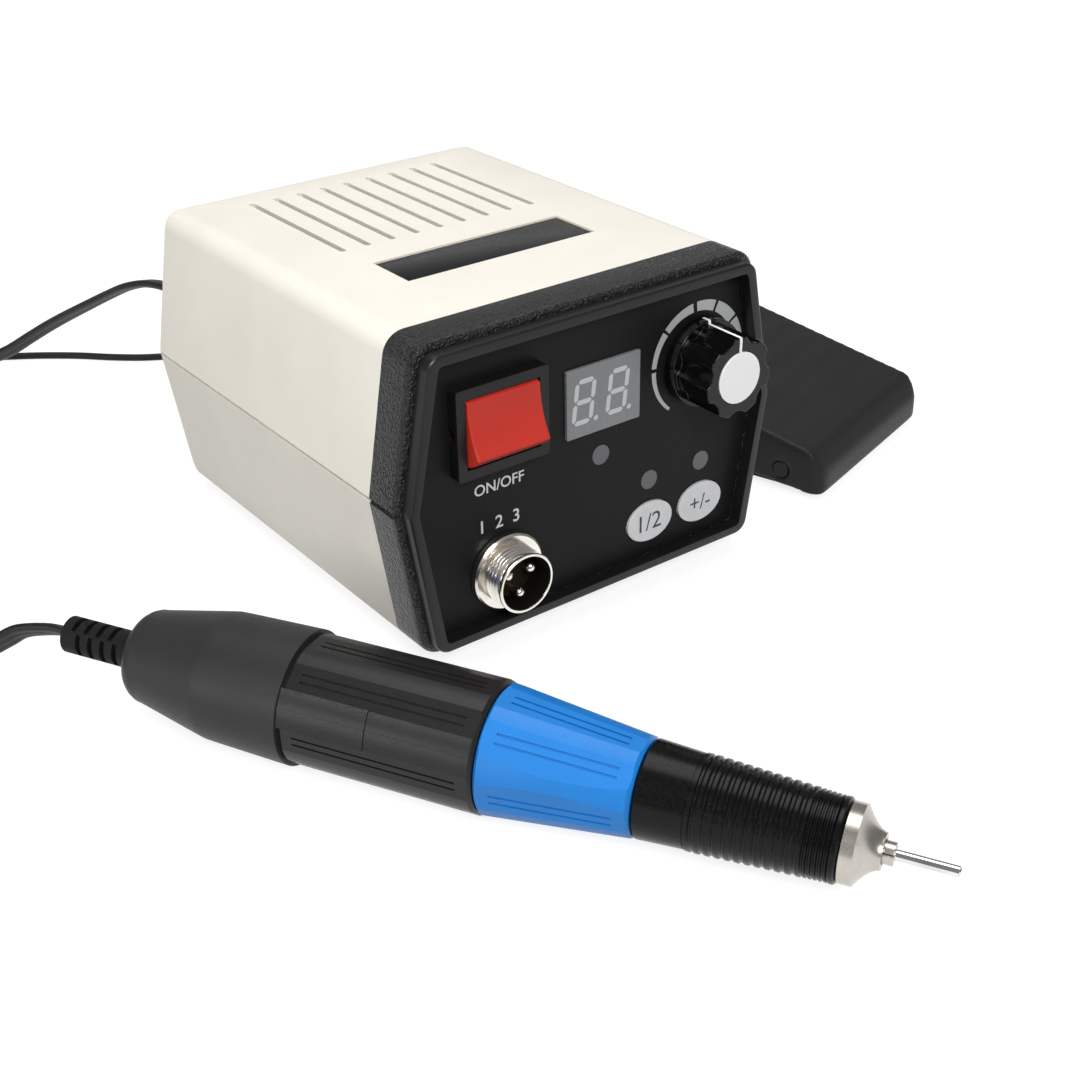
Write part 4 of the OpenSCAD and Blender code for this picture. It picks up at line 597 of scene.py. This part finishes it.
def windThread(bm, s):
    foot = s["flange"][1] + s["threadFrom"]
    pitch, crest, root = s["pitch"], s["crest"], s["root"]
    turns = int((s["out"] - s["lip"] - s["flange"][1]) / pitch) - 1
    radii = (root, crest - s["crown"], crest, crest, crest - s["crown"], root, root)
    tooth = list(zip(radii, (0,) + s["tooth"] + (1,)))
    first = [bm.verts.new((r * mm, 0, (h * pitch + foot) * mm)) for r, h in tooth]
    lines = [bm.edges.new(pair) for pair in zip(first, first[1:] + first[:1])]
    wound = bmesh.ops.spin(bm, geom=first + lines, cent=(0, 0, 0), axis=(0, 0, 1), angle=2 * math.pi * turns,
                           steps=s["sides"] * turns, dvec=(0, 0, pitch * mm / s["sides"]), use_merge=False)
    bmesh.ops.edgeloop_fill(bm, edges=lines)
    bmesh.ops.edgeloop_fill(bm, edges=[e for e in wound["geom_last"] if isinstance(e, bmesh.types.BMEdge)])


def makeSocket(s):
    bm = bmesh.new()
    flange, thick = s["flange"]
    under, over = s["flangeEdges"]
    wide, deep = s["mouth"]
    bore, crest, out, tail, edge = s["bore"], s["crest"], s["out"], s["tail"], s["lipEdge"]
    neck, lip = s["root"] + s["sunk"], out - s["lip"]
    core = [(bore, -tail), (crest, -tail), (crest, 0), (flange - under, 0), (flange, under),
            (flange, thick - over), (flange - over, thick), (neck, thick), (neck, lip), (crest, lip),
            (crest, out - edge), (crest - edge, out), (bore + wide, out), (bore, out - deep)]
    spinOutline(bm, core, s["sides"])
    windThread(bm, s)
    seatInPanel(bm, s)
    piece = linkMesh("motorSocket", bm, "base", nickelPlate, s["smoothAngle"])
    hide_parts("motor_socket")


# a thin near-black sleeve of painted shade over the socket's metal bore, from the insulator to the bevel of
# its mouth
def makePaintedShade(s, shadeSheet):
    bm = bmesh.new()
    outer = s["bore"] - shadeSheet["slip"]
    inner = outer - shadeSheet["wall"]
    mouth = s["bore"] + shadeSheet["mouth"][0]
    foot, outerBend, innerBend, top = (
        s["out"] - d for d in (shadeSheet["depth"], *shadeSheet["bends"], shadeSheet["mouth"][1]))
    outline = [(inner, foot), (outer, foot), (outer, outerBend), (mouth, top), (mouth - shadeSheet["wall"], top),
               (inner, innerBend)]
    spinOutline(bm, outline, s["sides"])
    seatInPanel(bm, s)
    linkMesh("socketLining", bm, "base", paintedShadeBlack, s["smoothAngle"])


# three contact pins with round heads
def makePins(s, pin):
    bm = bmesh.new()
    radius, ball = pin["radius"], pin["ball"]
    middle, back = s["out"] - pin["ballIn"], -s["tail"] - pin["back"]
    neck = math.acos(radius / ball)
    head = [-neck + (math.pi / 2 + neck) * k / pin["steps"] for k in range(pin["steps"] + 1)]
    outline = [(0, back), (radius, back)] + [(ball * math.cos(a), middle + ball * math.sin(a)) for a in head]
    for turn in pin["turns"]:
        across = Matrix.Rotation(math.radians(turn), 2) @ Vector((pin["circle"] * mm, 0))
        spinOutline(bm, outline, pin["sides"], across, closed=False)
    bmesh.ops.remove_doubles(bm, verts=bm.verts, dist=cleanSet["merge"] * mm)
    seatInPanel(bm, s)
    piece = linkMesh("socketPins", bm, "base", nickelPlate, s["smoothAngle"])
    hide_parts("socket_pins")


makeSocket(socketSet)
makePaintedShade(socketSet, paintedShadeSet)
makePins(socketSet, pinSet)
print("socket made")


# flat marks on the panel: closed outlines of (across, up) points at one depth
def flatMarks(name, outlines, depth, body, material):
    bm = bmesh.new()
    for points in outlines:
        bm.faces.new([bm.verts.new((x * mm, depth * mm, z * mm)) for x, z in points])
    bmesh.ops.recalc_face_normals(bm, faces=bm.faces)
    for face in bm.faces:
        if face.normal.y > 0:
            face.normal_flip()
    linkMesh(name, bm, body, material)


# a line of words, made a mesh and then fitted to its width and set by its middle
def flatWords(name, words, s, depth, body, material):
    curve = bpy.data.curves.new(name, "FONT")
    curve.body = words
    curve.align_x = "CENTER"
    curve.resolution_u = 6
    curve.offset = s.get("bold", 0)
    holder = linkObject(name, curve)
    mesh = evaluatedMesh(holder)
    bpy.data.objects.remove(holder)
    across = [v.co.x for v in mesh.vertices]
    upward = [v.co.y for v in mesh.vertices]
    k = s["width"] / (max(across) - min(across))
    cx, cz = (max(across) + min(across)) / 2, (max(upward) + min(upward)) / 2
    for v in mesh.vertices:
        v.co = ((s["x"] + (v.co.x - cx) * k) * mm, depth * mm, (s["z"] + (v.co.y - cz) * k) * mm)
    piece = linkObject(name, mesh)
    mesh.name = name
    mesh.materials.clear()
    mesh.materials.append(material)
    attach(piece, body)


labelSet = {
    "depth": -61.84,
    "switch": {"x": -28.6, "z": 44.8, "width": 14.7, "bold": 0.012},
    "socket": {"x": -28.7, "z": 34.6, "width": 11.5, "bold": 0.012},
}
flatWords("switchLabel", "ON/OFF", labelSet["switch"], labelSet["depth"], "base", labelWhite)
flatWords("pinLabel", "1  2  3", labelSet["socket"], labelSet["depth"], "base", labelWhite)

# a bare plate in the recess of the top
plateSet = {"wide": 57.6, "long": 16.1, "y": -18.25, "floor": 85.2, "thick": 0.4, "edge": 0.15}


def makePlate(s):
    bm = bmesh.new()
    middle = (s["floor"] + s["thick"] / 2) * mm
    bmesh.ops.create_cube(bm, size=1)
    bmesh.ops.scale(bm, vec=(s["wide"] * mm, s["long"] * mm, s["thick"] * mm), verts=bm.verts)
    bmesh.ops.translate(bm, vec=(0, s["y"] * mm, middle), verts=bm.verts)
    rim = [e for e in bm.edges if all(v.co.z > middle for v in e.verts)]
    bmesh.ops.bevel(bm, geom=rim, offset=s["edge"] * mm, affect="EDGES", segments=2, profile=0.5, material=-1)
    linkMesh("topPlate", bm, "base", plateBlack, smoothAngle=50)


makePlate(plateSet)

# the keys: an oval line inside the edge and a plain sign
keySet = {
    "depth": -62.43, "z": 18.1, "line": (6.55, 4.75, 0.42), "sides": 64,
    "keys": (("mode_key", 19.2, "1/2", 7.4), ("direction_key", 36.8, "+/-", 7.0)),
}


# a ring of quads, w wide, round an oval with half axes a and b
def ovalLine(x, z, a, b, w, sides):
    quads = []
    for i in range(sides):
        c0, s0, c1, s1 = (f(2 * math.pi * k / sides) for k in (i, i + 1) for f in (math.cos, math.sin))
        quads.append([(x + (a + w) * c0, z + (b + w) * s0), (x + (a + w) * c1, z + (b + w) * s1),
                      (x + a * c1, z + b * s1), (x + a * c0, z + b * s0)])
    return quads


def markKeys(s):
    for body, x, words, width in s["keys"]:
        name = pieceName(body)
        oval = ovalLine(x, s["z"], *s["line"], s["sides"])
        sign = {"x": x, "z": s["z"], "width": width}
        flatMarks(name + "Line", oval, s["depth"], body, keyLine)
        flatWords(name + "Sign", words, sign, s["depth"], body, markBlack)


markKeys(keySet)

# the display: two unlit digits of seven segments and a point each
digitSet = {"depth": -62.64, "x": 2.1, "z": 59.4, "apart": 10.6, "wide": 6.6, "high": 12.1, "stroke": 1.3,
            "gap": 0.26, "lean": 0.13, "point": 0.68, "pointFrom": 1.75, "pointSides": 16}


def sevenSegments(cx, cz, s):
    t, g, r = s["stroke"] / 2, s["gap"], s["point"]
    w, h = s["wide"] / 2 - t, s["high"] / 2 - t

    # a six-sided bar with pointed ends, half a stroke to each side of its middle line
    def bar(x0, z0, x1, z1):
        long = math.hypot(x1 - x0, z1 - z0)
        ux, uz = (x1 - x0) / long, (z1 - z0) / long
        x0, z0, x1, z1 = x0 + ux * g, z0 + uz * g, x1 - ux * g, z1 - uz * g
        return [(x0, z0), (x0 + ux * t - uz * t, z0 + uz * t + ux * t),
                (x1 - ux * t - uz * t, z1 - uz * t + ux * t), (x1, z1),
                (x1 - ux * t + uz * t, z1 - uz * t - ux * t), (x0 + ux * t + uz * t, z0 + uz * t - ux * t)]

    marks = [bar(-w, z, w, z) for z in (h, 0, -h)]
    marks += [bar(x, z, x, z + h) for z in (0, -h) for x in (-w, w)]
    turns = [2 * math.pi * k / s["pointSides"] for k in range(s["pointSides"])]
    marks.append([(w + s["pointFrom"] + r * math.cos(a), -h + r * math.sin(a)) for a in turns])
    return [[(cx + x + s["lean"] * z, cz + z) for x, z in mark] for mark in marks]


def makeDigits(s):
    left, right = (sevenSegments(s["x"] + k * s["apart"], s["z"], s) for k in (-0.5, 0.5))
    flatMarks("displayDigits", left + right, s["depth"], "base", segmentGrey)


makeDigits(digitSet)

# the dial: segments that widen clockwise round the knob, given by their ends in degrees
dialSet = {"depth": -61.83, "x": 34.5, "z": 60.5, "outer": 15.4, "thin": 0.8, "wide": 4.4, "steps": 12,
           "ends": ((232, 181), (177, 140), (137, 98), (93, 68), (64.5, 35), (32, -4), (-8, -50))}


def dialOutlines(s):
    outlines = []
    first, last = s["ends"][0][0], s["ends"][-1][1]
    for start, end in s["ends"]:
        outer, inner = [], []
        for k in range(s["steps"] + 1):
            a = start + (end - start) * k / s["steps"]
            c, d = math.cos(math.radians(a)), math.sin(math.radians(a))
            r = s["outer"] - s["thin"] - (s["wide"] - s["thin"]) * (first - a) / (first - last)
            outer.append((s["x"] + s["outer"] * c, s["z"] + s["outer"] * d))
            inner.append((s["x"] + r * c, s["z"] + r * d))
        outlines.append(outer + inner[::-1])
    return outlines


flatMarks("speedDial", dialOutlines(dialSet), dialSet["depth"], "base", dialSilver)

# the knob's pointer: a white line over its face, a lobe and the skirt, round their softened edges
pointerSet = {"x": 34.7, "z": 60.1, "half": 0.42, "lift": 0.05, "edge": 0.4, "cap": 6.9, "lobe": 10.7,
              "skirt": 11.7, "front": -77.2, "foot": -65.6, "drop": 2.4}


def makePointer(s):
    k, e, lobe, skirt, front, foot = (s[n] for n in ("lift", "edge", "lobe", "skirt", "front", "foot"))
    line = [(s["cap"], front - k), (lobe - 0.8 * e, front - k), (lobe - 0.2 * e, front + 0.2 * e - k),
            (lobe + k, front + e), (lobe + k, foot - k), (skirt - 0.75 * e, foot - k),
            (skirt - 0.125 * e, foot + 0.15 * e), (skirt + k, foot + e), (skirt + k, foot + s["drop"])]
    bm = bmesh.new()
    rows = [[bm.verts.new(((s["x"] + side * s["half"]) * mm, y * mm, (s["z"] + r) * mm)) for side in (-1, 1)]
            for r, y in line]
    for a, b in zip(rows, rows[1:]):
        bm.faces.new((a[0], a[1], b[1], b[0]))
    bmesh.ops.recalc_face_normals(bm, faces=bm.faces)
    linkMesh("knobPointer", bm, "speed_knob", capWhite, smoothAngle=30)


makePointer(pointerSet)
print("panel marked")

# ties round the coils: a strap with rounded corners, its section given by shares of its width and thickness
tieSet = {
    "wide": 5.0, "thick": 0.9, "corner": 2.2, "steps": 4, "slack": 0.4, "over": 0.3, "ground": 0.02,
    "section": ((-0.5, 0.15), (-0.42, 1), (0.42, 1), (0.5, 0.15), (0.42, 0), (-0.42, 0)),
}
tiePlaces = {"powerTie": (powerCoil, powerSet, 330), "pedalTie": (pedalCoil, pedalSet, 40),
             "handTie": (handCoil, handSet, 250)}


def makeTie(name, s, coil, cord, angle):
    reach = cord["thick"] / 2 + s["slack"]
    near = coil["radius"] - coil["pitch"] * coil["turns"] - coil["dip"] - reach
    far = coil["radius"] + reach
    top = coil["low"] + coil["rise"] + cord["width"] / 2 + s["over"]
    r = s["corner"]
    corners = ((far - r, top - r), (near + r, top - r), (near + r, r), (far - r, r))
    ring = []
    for quarter, (cx, cz) in enumerate(corners):
        for k in range(s["steps"] + 1):
            a = math.pi / 2 * (quarter + k / s["steps"])
            ring.append((cx + r * math.cos(a), cz + r * math.sin(a), math.cos(a), math.sin(a)))
    bm = bmesh.new()
    loops = []
    for side, grow in s["section"]:
        y, out = side * s["wide"], s["thick"] * grow
        points = [(x + nx * out, y, max(z + nz * out, s["ground"])) for x, z, nx, nz in ring]
        loops.append([bm.verts.new(Vector(p) * mm) for p in points])
    for a, b in zip(loops, loops[1:] + loops[:1]):
        for i in range(len(a)):
            j = (i + 1) % len(a)
            bm.faces.new((a[i], a[j], b[j], b[i]))
    bmesh.ops.recalc_face_normals(bm, faces=bm.faces)
    turn = Matrix.Rotation(math.radians(angle), 4, "Z")
    place = Matrix.Translation((coil["centre"][0] * mm, coil["centre"][1] * mm, 0))
    bmesh.ops.transform(bm, matrix=place @ turn, verts=bm.verts)
    linkMesh(name, bm, "base", footRubber, smoothAngle=40)


for name, (coil, cord, angle) in tiePlaces.items():
    makeTie(name, tieSet, coil, cord, angle)
print("coils tied")

# floor and light, in metres
stageSet = {"size": 40.0, "floor": 0.3, "rough": 0.95, "glow": 0.8, "sky": 0.24}


def makeStage(s):
    bm = bmesh.new()
    bmesh.ops.create_grid(bm, x_segments=1, y_segments=1, size=s["size"] / 2)
    mesh = bpy.data.meshes.new("studioFloor")
    bm.to_mesh(mesh)
    bm.free()
    floor = linkObject("studioFloor", mesh)
    mat, tree, shader = newMaterial("paperWhite")
    shader.inputs["Base Color"].default_value = grey(s["floor"])
    shader.inputs["Roughness"].default_value = s["rough"]
    shader.inputs["Specular IOR Level"].default_value = 0.0
    shader.inputs["Emission Color"].default_value = grey(1)
    shader.inputs["Emission Strength"].default_value = s["glow"]
    mesh.materials.append(mat)
    floor.visible_diffuse = False  # a bright floor that doesn't light the undersides
    world = bpy.data.worlds.new("studio")
    world.use_nodes = True
    sky = world.node_tree.nodes["Background"]
    sky.inputs["Color"].default_value = grey(1)
    sky.inputs["Strength"].default_value = s["sky"]
    bpy.context.scene.world = world
    bpy.context.scene.view_settings.view_transform = "Standard"


# each light has its place, the point it faces, its size and its power in watts
lightSet = {
    "skyPanel": ((0.10, 0.15, 1.25), (0, 0, 0.03), (1.0, 0.8), 8.0),
    "frontPanel": ((-0.45, -1.15, 0.95), (-0.02, -0.06, 0.04), (0.45, 0.45), 15.5),
    "leftPanel": ((-1.30, -0.05, 0.22), (-0.05, 0, 0.04), (0.7, 0.4), 4.6),
    "streakPanel": ((-1.00, -0.10, 0.74), (-0.07, -0.10, 0.02), (0.26, 0.26), 2.0),
    "backPanel": ((0.70, 1.20, 0.55), (0.05, 0, 0.02), (1.2, 0.5), 1.5),
}


def softLight(name, place, target, size, power):
    data = bpy.data.lights.new(name, "AREA")
    data.shape = "RECTANGLE"
    data.size, data.size_y = size
    data.energy = power
    aim = (Vector(target) - Vector(place)).to_track_quat("-Z", "Y")
    light = linkObject(name, data)
    light.matrix_world = Matrix.Translation(Vector(place)) @ aim.to_matrix().to_4x4()


makeStage(stageSet)
for name, (place, target, size, power) in lightSet.items():
    softLight(name, place, target, size, power)
print("stage lit")
